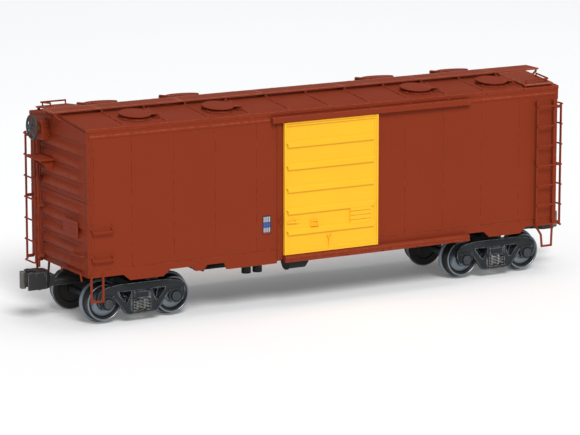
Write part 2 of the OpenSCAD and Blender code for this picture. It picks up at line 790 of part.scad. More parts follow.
module at_truck_b() {
    rotate([0, 0, 180]) translate([-tc, 0, 0]) children();
}

// Half of a sideframe's face, from its middle to one bearing
module frame_half() {
    z = axle_z;
    difference() {
        union() {
            polygon([[-0.1, z + 8.6], [11.5, z + 8.6], [hb - 0.6, z + 7.9], [hb + 2.8, z + 6.9],
                [hb + 4.8, z + 4.7], [hb + 5.3, z + 1.9], [hb + 4.6, z - 0.7], [hb + 3.2, z - 2.5],
                [hb + 2, z - 1.9], [hb + 2.8, z], [hb + 2.4, z + 2.4], [hb, z + 3.4], [hb - 2.6, z + 2.6],
                [hb - 3.6, z + 1.9], [8.5, z - 5.4], [7.6, z - 6.2], [-0.1, z - 6.2]]);
            translate([hb, z]) circle(r = 3.2);
        }
        polygon([[5.7, z + 4.8], [12, z + 4.8], [12.2, z + 4.2], [8.3, z - 0.5], [7.5, z - 0.5],
            [5.6, z + 3.6]]);
        translate([-1, z - 4.9]) square([6.4, spring_h]);
        translate([-1, z + 0.5]) square([5.4, 4.1]);
        translate([hb, z]) circle(r = journal_r + journal_play);
    }
}

module sideframe() {
    slab_xz(-frame_out, -frame_in) {
        frame_half();
        mirror([1, 0]) frame_half();
    }
}

module sideframes() {
    color(black) both_sides() sideframe();
}

module bolster() {
    color(black) difference() {
        union() {
            box([-bolster_hw, -frame_out - 0.4, axle_z + 0.7], [bolster_hw, frame_out + 0.4, axle_z + 4.5]);
            box([-bolster_hw, -frame_in + 1.2, axle_z + 0.7], [bolster_hw, frame_in - 1.2, axle_z + 8.2]);
            translate([0, 0, axle_z + 4]) cylinder(r = center_r, h = pivot_z - axle_z - 4);
        }
        translate([0, 0, axle_z]) cylinder(r = 1.2 + 0.15, h = 20);
    }
}

spring_r = 1.4;
spring_turns = 4;
spring_h = 5.6;

// Coil spring as a turned outline, its turns touching
module spring() {
    p = spring_h / spring_turns;
    core = spring_r - 0.5;
    translate([0, 0, axle_z - 4.9]) rotate_extrude() polygon(concat([[0, 0]],
        [for (k = [0:spring_turns - 1]) each [[core, k * p], [spring_r, (k + 0.3) * p],
            [spring_r, (k + 0.7) * p]]],
        [[core, spring_h], [0, spring_h]]));
}

module springs() {
    color(steel) both_sides() for (x = [-3.6, 0, 3.6]) translate([x, -(frame_in + frame_out) / 2, 0]) spring();
}

shoe_gap = 0.45;

module brake_beams() {
    color(black) both_ends() {
        both_sides() intersection() {
            translate([hb, 0, axle_z]) rotate([90, 0, 0]) difference() {
                cylinder(r = tread_r + shoe_gap + 1.3, h = wheel_out - 0.4);
                cylinder(r = tread_r + shoe_gap, h = 60, center = true);
            }
            box([5.2, -wheel_out + 0.4, axle_z - 3.4], [hb - 7, -wheel_in - flange_w - 0.5, axle_z + 3.4]);
        }
        box([hb - flange_r - 2, -wheel_out + 0.4, axle_z - 0.7], [hb - flange_r - 0.5, wheel_out - 0.4, axle_z + 0.7]);
        both_sides() box([bolster_hw, 8, axle_z - 0.4], [hb - flange_r - 1.6, 9.2, axle_z + 2.4]);
        both_sides() box([hb - flange_r - 0.6, -wheel_out + 1.4, axle_z - 0.6], [hb - flange_r + 1, -wheel_out + 3.4,
            axle_z + 0.6]);
    }
}

module wheel() {
    rotate([90, 0, 0]) rotate_extrude() polygon([
        [axle_r, 0], [flange_r - 0.7, 0], [flange_r, 0.45], [flange_r, flange_w - 0.4],
        [tread_r + 0.35, flange_w], [tread_r, flange_w + 0.35], [tread_r - 0.1, wheel_w - 0.3],
        [tread_r - 0.4, wheel_w], [tread_r - 1.5, wheel_w], [tread_r - 1.9, wheel_w - 0.5],
        [tread_r - 2.4, wheel_w - 1.5], [axle_r + 3.2, wheel_w - 1.6], [axle_r + 2, wheel_w - 0.9],
        [axle_r + 1.6, wheel_w - 0.2], [axle_r, wheel_w - 0.2]]);
}

module wheels(x) {
    color(steel) both_sides() translate([x, -wheel_in, axle_z]) wheel();
}

module axle(x) {
    color(black) translate([x, 0, axle_z]) rotate([90, 0, 0]) {
        cylinder(r = axle_r, h = 2 * wheel_out, center = true);
        cylinder(r = journal_r, h = 2 * (frame_out + 0.3), center = true);
        for (s = [-1, 1]) translate([0, 0, s * (frame_out + 0.55)]) {
            cylinder(r = cap_r, h = 0.7, center = true);
            cylinder(r = 0.9, h = 1.3, center = true);
            for (a = [0:120:240]) rotate(a) translate([1.45, 0, s * 0.15]) cylinder(r = 0.38, h = 1.1,
                center = true, $fn = 16);
        }
    }
}

// Coupler plan, with the pulling face towards -X and the guard arm at -Y
head_x = -coupler_reach;
knuckle_x = head_x + 5.4;
knuckle_y = 3.9;
lug_t = 1.3;

module coupler() {
    color(black) {
        translate([0, 0, coupler_lo]) linear_extrude(coupler_h)
            polygon([[head_x + 13.4, -3.4], [head_x + 10.6, -5.6], [head_x + 1.4, -5.6], [head_x + 1.4, -4.7],
                [head_x + 6.2, -3.6], [head_x + 7.6, -1.6], [head_x + 7.8, 5.4], [head_x + 10.6, 5.4],
                [head_x + 13.4, 3.4]]);
        for (z = [coupler_lo, coupler_hi - lug_t]) translate([0, 0, z]) linear_extrude(lug_t) {
            translate([knuckle_x, knuckle_y]) circle(r = 1.7);
            translate([knuckle_x, knuckle_y - 1.7]) square([4, 3.2]);
        }
        translate([knuckle_x, knuckle_y, coupler_lo]) cylinder(r = pin_r, h = coupler_h);
        difference() {
            box([head_x + 13, -2.4, coupler_z - 3.6], [-bolster_hw, 2.4, coupler_z - 1]);
            cylinder(r = center_r + 0.05, h = 60);
        }
        box([head_x + 12.4, -3, coupler_lo + 0.4], [head_x + 16, 3, coupler_hi - 2]);
    }
}

module knuckle() {
    nose_x = head_x + 1.6;
    nose_y = 0.9;
    lug_in = lug_t + 0.15;
    color(black) difference() {
        union() {
            translate([0, 0, coupler_lo + lug_in]) linear_extrude(coupler_h - 2 * lug_in) {
                translate([knuckle_x, knuckle_y]) circle(r = 1.6);
                polygon([[knuckle_x - 0.2, knuckle_y - 1.6], [knuckle_x + 0.4, knuckle_y + 1.6],
                    [nose_x + 0.6, nose_y + 2.9], [nose_x - 0.2, nose_y + 1.2], [nose_x + 1.5, nose_y - 0.4]]);
            }
            translate([0, 0, coupler_lo + 0.1]) linear_extrude(coupler_h - 0.2) {
                translate([nose_x, nose_y]) circle(r = 1.5);
                translate([nose_x + 0.3, nose_y + 1.1]) circle(r = 1.4);
            }
        }
        translate([knuckle_x, knuckle_y, 0]) cylinder(r = pin_r + pin_play, h = 60);
    }
}

floor();
side_near();
side_far();
end_brake();
end_plain();
roof();
hatch_coamings();
at_hatch(1) hatch_lid();  // hatch_lid_1
at_hatch(2) hatch_lid();  // hatch_lid_2
at_hatch(3) hatch_lid();  // hatch_lid_3
at_hatch(4) hatch_lid();  // hatch_lid_4
at_hatch(5) hatch_lid();  // hatch_lid_5
at_hatch(6) hatch_lid();  // hatch_lid_6
at_hatch(7) hatch_lid();  // hatch_lid_7
at_hatch(8) hatch_lid();  // hatch_lid_8
running_board();
board_brackets();
lateral_boards();
side_ladders();
end_ladders();
grab_irons();
sill_steps();
brake_wheel();
brake_gear();
brake_platform();
retainer_line();
tack_boards();
uncoupling_levers();
upper_tracks();
lower_tracks();
door_posts();
door_near();
door_far();
underframe();
brake_cylinder();
air_reservoir();
control_valve();
brake_rods();
at_truck_a() sideframes();  // sideframes_a
at_truck_a() bolster();  // bolster_a
at_truck_a() springs();  // springs_a
at_truck_a() brake_beams();  // brake_beams_a
at_truck_a() coupler();  // coupler_a
at_truck_a() knuckle();  // knuckle_a
at_truck_a() wheels(-hb);  // wheels_a1
at_truck_a() axle(-hb);  // axle_a1
at_truck_a() wheels(hb);  // wheels_a2
at_truck_a() axle(hb);  // axle_a2
at_truck_b() sideframes();  // sideframes_b
at_truck_b() bolster();  // bolster_b
at_truck_b() springs();  // springs_b
at_truck_b() brake_beams();  // brake_beams_b
at_truck_b() coupler();  // coupler_b
at_truck_b() knuckle();  // knuckle_b
at_truck_b() wheels(-hb);  // wheels_b1
at_truck_b() axle(-hb);  // axle_b1
at_truck_b() wheels(hb);  // wheels_b2
at_truck_b() axle(hb);  // axle_b2
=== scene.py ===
"""Looks of a 1:48 model boxcar with round roof hatches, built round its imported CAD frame."""

import logging
import math
from dataclasses import dataclass, field
from enum import Enum
from typing import Iterable, Sequence

import bmesh
import bpy
from mathutils import Matrix, Vector


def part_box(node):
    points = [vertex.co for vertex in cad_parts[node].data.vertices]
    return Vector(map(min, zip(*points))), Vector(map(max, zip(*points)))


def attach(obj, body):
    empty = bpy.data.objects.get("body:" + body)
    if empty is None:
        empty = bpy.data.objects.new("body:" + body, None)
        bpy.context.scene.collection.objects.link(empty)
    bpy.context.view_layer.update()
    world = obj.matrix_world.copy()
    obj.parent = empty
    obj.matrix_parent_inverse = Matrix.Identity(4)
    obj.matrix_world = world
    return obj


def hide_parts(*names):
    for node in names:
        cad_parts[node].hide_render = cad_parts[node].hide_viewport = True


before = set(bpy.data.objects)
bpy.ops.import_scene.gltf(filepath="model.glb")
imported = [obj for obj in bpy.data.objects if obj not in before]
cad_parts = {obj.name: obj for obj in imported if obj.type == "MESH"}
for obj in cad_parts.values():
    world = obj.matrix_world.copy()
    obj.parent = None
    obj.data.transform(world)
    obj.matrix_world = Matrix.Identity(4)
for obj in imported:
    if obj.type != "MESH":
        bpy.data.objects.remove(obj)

LOG = logging.getLogger("boxcar")
MM = 0.001
# Faces that take the lighter edge colour: rubbed paint and a painted edge highlight.
EDGE = "edge_wear"
RADIUS = "turning_radius"
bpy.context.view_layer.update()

# Sizes that several pieces share, in millimetres: the height of the sides, the cornice over them, how far
# an end sheet stands out, the length of a roof bay, and the roof's fall for each millimetre from the ridge.
SIDE_TALL = 64.6
CORNICE = 4.5
END_SHEET = 0.9
BAY = 21.65
SLOPE = 0.1


# ---------------------------------------------------------------- shader maths


class Value:
    """A shader output with Python's arithmetic, each operation adding one Math node."""

    def __init__(self, graph: "Graph", socket: bpy.types.NodeSocket) -> None:
        """Wraps a socket of a graph."""
        self.graph = graph
        self.socket = socket

    def _math(self, operation: str, *others: "Value | float",
              first: "Value | float | None" = None) -> "Value":
        """Adds one Math node.

        Args:
            operation: The node's operation.
            others: The operands after this value.
            first: An operand that comes before this value, for reflected forms.

        Returns:
            The node's result.
        """
        operands = [self, *others] if first is None else [first, self, *others]
        return self.graph.add("ShaderNodeMath", {"operation": operation}, dict(enumerate(operands)))

    def __add__(self, other: "Value | float") -> "Value":
        """Sum."""
        return self._math("ADD", other)

    def __radd__(self, other: float) -> "Value":
        """Sum with a number first."""
        return self._math("ADD", other)

    def __sub__(self, other: "Value | float") -> "Value":
        """Difference."""
        return self._math("SUBTRACT", other)

    def __rsub__(self, other: float) -> "Value":
        """Difference with a number first."""
        return self._math("SUBTRACT", first=other)

    def __mul__(self, other: "Value | float") -> "Value":
        """Product."""
        return self._math("MULTIPLY", other)

    def __rmul__(self, other: float) -> "Value":
        """Product with a number first."""
        return self._math("MULTIPLY", other)

    def __truediv__(self, other: "Value | float") -> "Value":
        """Quotient."""
        return self._math("DIVIDE", other)

    def clamped(self) -> "Value":
        """Held between 0 and 1."""
        return self._math("MAXIMUM", 0.0)._math("MINIMUM", 1.0)

    def above(self, low: float, high: float) -> "Value":
        """Rises from 0 at low to 1 at high."""
        return ((self - low) / (high - low)).clamped()


class Graph:
    """The node tree of one material."""

    def __init__(self, name: str) -> None:
        """Makes a material with an empty tree.

        Args:
            name: The material's name.
        """
        self.material = bpy.data.materials.new(name)
        self.material.use_nodes = True
        self.tree = self.material.node_tree
        self.tree.nodes.clear()

    def add(self, kind: str, settings: dict | None = None, sockets: dict | None = None,
            out: str | int = 0) -> Value:
        """Adds a node.

        Args:
            kind: The node's type.
            settings: Properties to set first; "stops" gives a colour ramp's stops.
            sockets: Numbers, colours or values for the inputs, by name or place.
            out: The output to hand back.

        Returns:
            The chosen output.
        """
        node = self.tree.nodes.new(kind)
        for key, setting in (settings or {}).items():
            if key == "stops":
                ramp = node.color_ramp
                while len(ramp.elements) < len(setting):
                    ramp.elements.new(0.5)
                for element, (place, colour) in zip(ramp.elements, setting):
                    element.position, element.color = place, colour
            else:
                setattr(node, key, setting)
        for key, given in (sockets or {}).items():
            if isinstance(given, Value):
                self.tree.links.new(given.socket, node.inputs[key])
            else:
                node.inputs[key].default_value = given
        return Value(self, node.outputs[out] if len(node.outputs) else None)

    def noise(self, place: Value, scale: float, detail: float = 2.0, rough: float = 0.5) -> Value:
        """Fractal noise from 0 to 1.

        Args:
            place: Where each point is.
            scale: Patches in each metre.
            detail: Octaves.
            rough: Share that each octave keeps.

        Returns:
            The noise.
        """
        wanted = {"Vector": place, "Scale": scale, "Detail": detail, "Roughness": rough}
        return self.add("ShaderNodeTexNoise", {}, wanted)

    def blend(self, low: "Value | Sequence[float]", high: "Value | Sequence[float]",
              share: "Value | float") -> Value:
        """Mixes two colours.

        Args:
            low: The colour where share is 0.
            high: The colour where share is 1.
            share: The mix.

        Returns:
            The mixed colour.
        """
        return self.add("ShaderNodeMix", {"data_type": "RGBA"}, {0: share, 6: low, 7: high}, out=2)


def rgba(colour: Sequence[float], gain: float = 1.0) -> tuple[float, float, float, float]:
    """A colour as four numbers, made brighter or darker by gain."""
    return (colour[0] * gain, colour[1] * gain, colour[2] * gain, 1.0)


@dataclass(frozen=True)
class Finish:
    """A painted, cast or moulded surface, with how it varies and wears, and a painted highlight on its
    bevelled edges.
    """

    name: str
    slot: str
    colour: tuple[float, float, float]
    rubbed_and_lit_edge: tuple[float, float, float]
    roughness: float = 0.5
    metallic: float = 0.0
    shine: float = 0.22
    drift: float = 0.1
    patch: float = 38.0
    grain: float = 1500.0
    relief: float = 0.02
    dust: float = 0.05
    edge_rub_and_highlight: float = 0.5

    def build(self) -> bpy.types.Material:
        """Makes the material.

        Returns:
            The material.
        """
        graph = Graph(self.name)
        place = graph.add("ShaderNodeTexCoord", out="Object")
        patches = graph.noise(place, self.patch, 4.0, 0.55)
        grain = graph.noise(place, self.grain, 2.0, 0.6)
        colour = graph.blend(rgba(self.colour, 1 - self.drift), rgba(self.colour, 1 + self.drift), patches)
        colour = graph.blend(colour, rgba(self.colour, 1 + self.drift * 2), grain.above(0.62, 0.8) * 0.35)
        # Bevelled edges blend towards a lighter colour: partly rubbed paint, partly a painted highlight along
        # lit edges.
        edge = graph.add("ShaderNodeAttribute", {"attribute_name": EDGE}, out="Fac")
        rubbed_and_lit_edge = edge * graph.noise(place, 420.0, 3.0).above(0.35, 0.62) * self.edge_rub_and_highlight
        colour = graph.blend(colour, rgba(self.rubbed_and_lit_edge), rubbed_and_lit_edge.clamped())
        facing = graph.add("ShaderNodeTexCoord", out="Normal")
        up = graph.add("ShaderNodeSeparateXYZ", {}, {0: facing}, out=2)
        settled = up.above(0.3, 1.0) * graph.noise(place, 110.0, 4.0).above(0.3, 0.8) * self.dust
        colour = graph.blend(colour, rgba((0.42, 0.38, 0.34)), settled)
        colour, rough, height = self.dress(graph, place, colour, self.roughness + (patches - 0.5) * 0.16,
                                           grain)
        rough = rough + settled * 0.8 - rubbed_and_lit_edge * 0.1
        bump = graph.add("ShaderNodeBump", {}, {"Strength": 0.35, "Distance": self.relief * MM,
                                                "Height": height})
        shader = graph.add("ShaderNodeBsdfPrincipled", {}, {
            "Base Color": colour, "Roughness": rough.clamped(), "Metallic": self.metallic,
            "Specular IOR Level": self.shine, "Normal": bump})
        graph.add("ShaderNodeOutputMaterial", {}, {"Surface": shader})
        return graph.material

    def dress(self, graph: Graph, place: Value, colour: Value, rough: Value,
              height: Value) -> tuple[Value, Value, Value]:
        """Adds what is special to a finish.

        Args:
            graph: The material's tree; not used here.
            place: Where each point is; not used here.
            colour: The colour so far.
            rough: The roughness so far.
            height: The relief so far.

        Returns:
            The colour, roughness and relief.
        """
        return colour, rough, height


@dataclass(frozen=True)
class Lathed(Finish):
    """Metal with fine rings round its axis."""

    rings: float = 3.2

    def dress(self, graph: Graph, place: Value, colour: Value, rough: Value,
              height: Value) -> tuple[Value, Value, Value]:
        """Adds the tool's rings, which follow the distance from the axis.

        Args:
            graph: The material's tree.
            place: Where each point is; not used here.
            colour: The colour so far.
            rough: The roughness so far.
            height: The relief so far.

        Returns:
            The colour, roughness and relief.
        """
        radius = graph.add("ShaderNodeAttribute", {"attribute_name": RADIUS}, out="Fac")
        ring = graph.add("ShaderNodeTexNoise", {"noise_dimensions": "1D"},
                         {"W": radius * self.rings, "Scale": 1.0, "Detail": 3.0})
        colour = graph.blend(colour, rgba(self.colour, 1.35), ring.above(0.5, 0.75) * 0.4)
        return colour, rough + (ring - 0.5) * 0.3, height * 0.3 + ring


class Finishes:
    """Every finish of the car, made once."""

    def __init__(self) -> None:
        """Makes the materials."""
        red, rubbed_and_lit_edge = (0.224, 0.032, 0.0115), (0.46, 0.13, 0.075)
        self.body = Finish("oxide_red_paint", "body_paint", red, rubbed_and_lit_edge, 0.5, shine=0.06, drift=0.06,
                           dust=0.02)
        # The roof's edges take more of the lighter edge colour: a painted highlight on the lit eave, besides
        # wear.
        self.roof = Finish("oxide_red_roof_paint", "body_paint", red, rubbed_and_lit_edge, 0.54, shine=0.06, drift=0.06,
                           dust=0.02, edge_rub_and_highlight=0.8)
        # A lighter red than the body, a painted highlight on the gratings' lit strands; their edges also take
        # more of the lighter edge colour, both wear and painted highlight.
        self.grating = Finish("oxide_red_grating_paint", "body_paint", (0.29, 0.055, 0.026),
                              (0.55, 0.2, 0.13), 0.5, shine=0.12, drift=0.12, dust=0.04, edge_rub_and_highlight=0.9)
        self.door = Finish("warm_yellow_paint", "door_paint", (0.88, 0.47, 0.016), (0.97, 0.68, 0.14), 0.42,
                           drift=0.05)
        self.under = Finish("underframe_black", "underframe_black", (0.017, 0.017, 0.018), (0.06, 0.06, 0.06),
                            0.55)
        self.truck = Finish("charcoal_casting", "truck_black", (0.02, 0.023, 0.026), (0.34, 0.37, 0.4), 0.42,
                            metallic=0.15, grain=2200.0, relief=0.03, edge_rub_and_highlight=0.8)
        self.coupler = Finish("blackened_casting", "coupler_black", (0.03, 0.03, 0.031), (0.16, 0.16, 0.155),
                              0.45, metallic=0.3, grain=2600.0, relief=0.04, edge_rub_and_highlight=0.8)
        self.knuckle = Finish("worn_knuckle_casting", "coupler_black", (0.125, 0.12, 0.112),
                              (0.34, 0.33, 0.3), 0.4,
                              metallic=0.5, drift=0.35, patch=260.0, grain=2600.0, relief=0.04, edge_rub_and_highlight=0.8)
        self.iron = Finish("dark_iron", "dark_iron", (0.045, 0.05, 0.05), (0.14, 0.15, 0.15), 0.5,
                           metallic=0.2)
        self.wheel = Lathed("turned_wheel_steel", "wheel_steel", (0.2, 0.235, 0.27), (0.5, 0.53, 0.56), 0.36,
                            metallic=0.75, drift=0.12, relief=0.015, edge_rub_and_highlight=0.9)
        # Dark steel for the wheel body; on the back and plate that face inwards the darkness is partly
        # painted shade.
        self.tread = Lathed("dark_wheel_tread", "wheel_steel", (0.045, 0.043, 0.04), (0.3, 0.3, 0.3), 0.42,
                            metallic=0.6, drift=0.2, relief=0.015)
        self.cap = Lathed("bearing_cap", "axle_black", (0.05, 0.056, 0.062), (0.22, 0.24, 0.26), 0.4,
                          metallic=0.4)
        self.spring = Finish("spring_steel", "spring_steel", (0.13, 0.124, 0.112), (0.5, 0.47, 0.42), 0.38,
                             metallic=0.45)
        self.placard = Finish("placard_black", "body_paint", (0.02, 0.022, 0.035), (0.1, 0.1, 0.1), 0.45)
        self.white = Finish("stripe_white", "body_paint", (0.42, 0.42, 0.45), (0.6, 0.6, 0.6), 0.45)
        self.blue = Finish("stripe_blue", "body_paint", (0.05, 0.12, 0.42), (0.2, 0.3, 0.6), 0.45)
        self.scarlet = Finish("stripe_red", "body_paint", (0.6, 0.06, 0.04), (0.7, 0.2, 0.2), 0.45)
        self._made: dict[str, bpy.types.Material] = {}

    def material(self, finish: Finish) -> bpy.types.Material:
        """The material of a finish, made the first time it is asked for.

        Args:
            finish: The finish.

        Returns:
            The material.
        """
        if finish.name not in self._made:
            self._made[finish.name] = finish.build()
        return self._made[finish.name]


FINISHES = Finishes()


# ---------------------------------------------------------------- shaping


@dataclass(frozen=True)
class Span:
    """The box of a CAD node, in millimetres."""

    lo: Vector
    hi: Vector

    @classmethod
    def of(cls, node: str) -> "Span":
        """The box of a node."""
        lo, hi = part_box(node)
        return cls(lo / MM, hi / MM)

    @property
    def mid(self) -> Vector:
        """The middle of the box."""
        return (self.lo + self.hi) / 2


@dataclass(frozen=True)
class RoofLine:
    """The line of the roof's sheets, which fall evenly from the ridge to each eave."""

    eave: float = field(default_factory=lambda: Span.of("side_near").hi.z + CORNICE)
    edge: float = field(default_factory=lambda: -Span.of("roof").lo.y)

    def height(self, across: float) -> float:
        """Height of the sheets at a distance from the ridge."""
        return self.eave + (self.edge - abs(across)) * SLOPE


class Turn(Enum):
    """The two halves of the car, which match after half a turn about its middle."""

    NEAR = 0
    FAR = 1

    @property
    def matrix(self) -> Matrix:
        """The turn from the near half to this one."""
        return Matrix.Rotation(math.pi * self.value, 4, "Z")


class Truck(Enum):
    """The two trucks, A at the hand brake end."""

    A = "a"
    B = "b"

    @property
    def matrix(self) -> Matrix:
        """From a truck's own drawing, its coupler towards -X, to its place under the car.

        Returns:
            The place.
        """
        centre = Span.of("bolster_a").mid.x
        turn = Turn.NEAR if self is Truck.A else Turn.FAR
        return turn.matrix @ Matrix.Translation((centre, 0, 0))


def facing(normal: Sequence[float], at: Sequence[float]) -> Matrix:
    """Places a shape drawn on the XY plane at a point, its Z along a normal."""
    return Matrix.Translation(at) @ Vector(normal).to_track_quat("Z", "Y").to_matrix().to_4x4()


def row(start: Sequence[float], end: Sequence[float], pitch: float) -> list[Vector]:
    """Even points from start to end, as near to the pitch as they fit.

    Args:
        start: The first point.
        end: The last point.
        pitch: The wanted spacing.

    Returns:
        The points.
    """
    a, b = Vector(start), Vector(end)
    count = max(1, round((b - a).length / pitch))
    return [a.lerp(b, k / count) for k in range(count + 1)]


class Shape:
    """A mesh being shaped, in millimetres in the car's frame."""

    def __init__(self) -> None:
        """Starts empty."""
        self.bm = bmesh.new()
        self.edge = self.bm.faces.layers.float.new(EDGE)

    @classmethod
    def of_node(cls, node: str, soft: float = 0.0, angle: float = 28.0) -> "Shape":
        """A CAD node's shape, merged, with its sharp edges softened.

        Args:
            node: The CAD node.
            soft: Width of the softened edges.
            angle: Edges sharper than this, in degrees, are softened.

        Returns:
            The shape.
        """
        shape = cls()
        shape.bm.from_mesh(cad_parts[node].data)
        shape.edge = shape.bm.faces.layers.float.get(EDGE) or shape.bm.faces.layers.float.new(EDGE)
        bmesh.ops.scale(shape.bm, vec=(1 / MM,) * 3, verts=shape.bm.verts)
        bmesh.ops.remove_doubles(shape.bm, verts=shape.bm.verts, dist=0.002)
        bmesh.ops.dissolve_limit(shape.bm, angle_limit=math.radians(0.6), use_dissolve_boundaries=False,
                                 verts=shape.bm.verts, edges=shape.bm.edges, delimit=set())
        if soft:
            shape.soften(shape.bm.edges, soft, angle=angle)
        return shape

    def soften(self, edges: Iterable[bmesh.types.BMEdge], width: float, segments: int = 1,
               angle: float = 28.0) -> None:
        """Bevels the sharp ones of some edges, and marks the new faces as edges that wear and take a painted
        highlight.

        Args:
            edges: The edges to look at.
            width: The bevel's width.
            segments: The bevel's steps.
            angle: Edges sharper than this, in degrees, are bevelled.
        """
        sharp = [e for e in edges if len(e.link_faces) == 2 and e.calc_face_angle(0.0) > math.radians(angle)]
        made = bmesh.ops.bevel(self.bm, geom=sharp, offset=width, offset_type="OFFSET", segments=segments,
                               profile=0.5, affect="EDGES", clamp_overlap=False, material=-1)
        for face in made["faces"]:
            face[self.edge] = 1.0

    def box(self, lo: Sequence[float], hi: Sequence[float], soft: float = 0.0) -> "Shape":
        """Adds a box.

        Args:
            lo: Its lowest corner.
            hi: Its highest corner.
            soft: Width of its softened edges.

        Returns:
            This shape.
        """
        return self.tapered(lo, hi, soft=soft)

    def tapered(self, lo: Sequence[float], hi: Sequence[float], axis: int = 2, end: float = 1.0,
                cut: Sequence[float] = (0, 0), soft: float = 0.0) -> "Shape":
        """Adds a box that narrows towards one end of an axis.

        Args:
            lo: Its lowest corner.
            hi: Its highest corner.
            axis: The axis that it narrows along.
            end: 1 where the high end narrows, -1 the low end.
            cut: What each side loses at that end, along the other two axes.
            soft: Width of its softened edges.

        Returns:
            This shape.
        """
        low, high = Vector(lo), Vector(hi)
        size = Matrix.Diagonal((*(high - low), 1))
        verts = bmesh.ops.create_cube(self.bm, size=1.0,
                                      matrix=Matrix.Translation((low + high) / 2) @ size)["verts"]
        across = [k for k in range(3) if k != axis]
        middle = (low + high) / 2
        for vert in verts:
            if (vert.co[axis] - middle[axis]) * end > 0:
                for k, loss in zip(across, cut):
                    vert.co[k] -= math.copysign(loss, vert.co[k] - middle[k])
        if soft:
            self.soften({e for v in verts for e in v.link_edges}, soft, angle=20.0)
        return self

    def rod(self, a: Sequence[float], b: Sequence[float], r: float, r2: float | None = None, sides: int = 16,
            soft: float = 0.0) -> "Shape":
        """Adds a round rod or cone.

        Args:
            a: The middle of its first end.
            b: The middle of its last end.
            r: The radius at a.
            r2: The radius at b, the same if left out.
            sides: Faces round it.
            soft: Width of its softened edges.

        Returns:
            This shape.
        """
        start, stop = Vector(a), Vector(b)
        verts = bmesh.ops.create_cone(self.bm, cap_ends=True, cap_tris=False, segments=sides, radius1=r,
                                      radius2=r if r2 is None else r2, depth=(stop - start).length,
                                      matrix=facing(stop - start, (start + stop) / 2))["verts"]
        if soft:
            self.soften({e for v in verts for e in v.link_edges}, soft, angle=60.0)
        return self

    def ball(self, at: Sequence[float], r: float, squash: float = 1.0, sides: int = 8,
             rings: int = 5) -> "Shape":
        """Adds a ball, which may be pressed flat along Z.

        Args:
            at: Its middle.
            r: Its radius.
            squash: Its height as a share of its width.
            sides: Faces round it.
            rings: Faces from pole to pole.

        Returns:
            This shape.
        """
        matrix = Matrix.Translation(at) @ Matrix.Diagonal((1, 1, squash, 1))
        bmesh.ops.create_uvsphere(self.bm, u_segments=sides, v_segments=rings, radius=r, matrix=matrix)
        return self

    def wire(self, points: Sequence[Sequence[float]], r: float, sides: int = 10) -> "Shape":
        """Adds a round wire through some points.

        Args:
            points: The points.
            r: The wire's radius.
            sides: Faces round it.

        Returns:
            This shape.
        """
        for a, b in zip(points, points[1:]):
            self.rod(a, b, r, sides=sides)
        for point in points[1:-1]:
            self.ball(point, r * 1.02, sides=sides, rings=6)
        return self

    def turned(self, outline: Sequence[tuple[float, float]], steps: int = 48,
               at: Matrix = Matrix()) -> "Shape":
        """Adds a solid of revolution.

        Args:
            outline: A closed outline as (radius, height) about Z.
            steps: Faces round it.
            at: Where it goes.

        Returns:
            This shape.
        """
        part = Shape()
        verts = [part.bm.verts.new((r, 0, z)) for r, z in outline]
        edges = [part.bm.edges.new((a, b)) for a, b in zip(verts, verts[1:] + verts[:1])]
        bmesh.ops.spin(part.bm, geom=verts + edges, cent=(0, 0, 0), axis=(0, 0, 1), dvec=(0, 0, 0),
                       angle=math.tau, steps=steps, use_merge=True)
        bmesh.ops.remove_doubles(part.bm, verts=part.bm.verts, dist=0.0005)
        bmesh.ops.recalc_face_normals(part.bm, faces=part.bm.faces)
        return self.place(part, at)

    def prism(self, outline: Sequence[Sequence[float]], depth: Sequence[float], soft: float = 0.0) -> "Shape":
        """Adds a flat outline pushed along a direction.

        Args:
            outline: The points of the outline, in order.
            depth: The push.
            soft: Width of its softened edges.

        Returns:
            This shape.
        """
        part = Shape()
        face = part.bm.faces.new([part.bm.verts.new(p) for p in outline])
        made = bmesh.ops.extrude_face_region(part.bm, geom=[face])["geom"]
        bmesh.ops.translate(part.bm, vec=depth, verts=[v for v in made if isinstance(v, bmesh.types.BMVert)])
        bmesh.ops.recalc_face_normals(part.bm, faces=part.bm.faces)
        if soft:
            part.soften(part.bm.edges, soft, angle=20.0)
        return self.place(part, Matrix())

    def place(self, other: "Shape", *spots: Matrix) -> "Shape":
        """Adds copies of another shape.

        Args:
            other: The shape to copy.
            spots: Where each copy goes.

        Returns:
            This shape.
        """
        spare = bpy.data.meshes.new("spare")
        other.bm.to_mesh(spare)
        for spot in spots:
            spare.transform(spot)
            self.bm.from_mesh(spare)
            spare.transform(spot.inverted())
        bpy.data.meshes.remove(spare)
        self.edge = self.bm.faces.layers.float[EDGE]
        return self

    def rivets(self, points: Iterable[Sequence[float]], normal: Sequence[float], r: float = 0.26,
               proud: float = 0.5) -> "Shape":
        """Adds domed rivet heads.

        Args:
            points: Where they sit.
            normal: The way that they face.
            r: Their radius.
            proud: Their height as a share of the radius.

        Returns:
            This shape.
        """
        head = Shape()
        head.ball((0, 0, 0), r, proud, 7, 4)
        return self.place(head, *[facing(normal, p) for p in points])

    def moved(self, matrix: Matrix) -> "Shape":
        """Moves the whole shape."""
        bmesh.ops.transform(self.bm, matrix=matrix, verts=self.bm.verts)
        return self

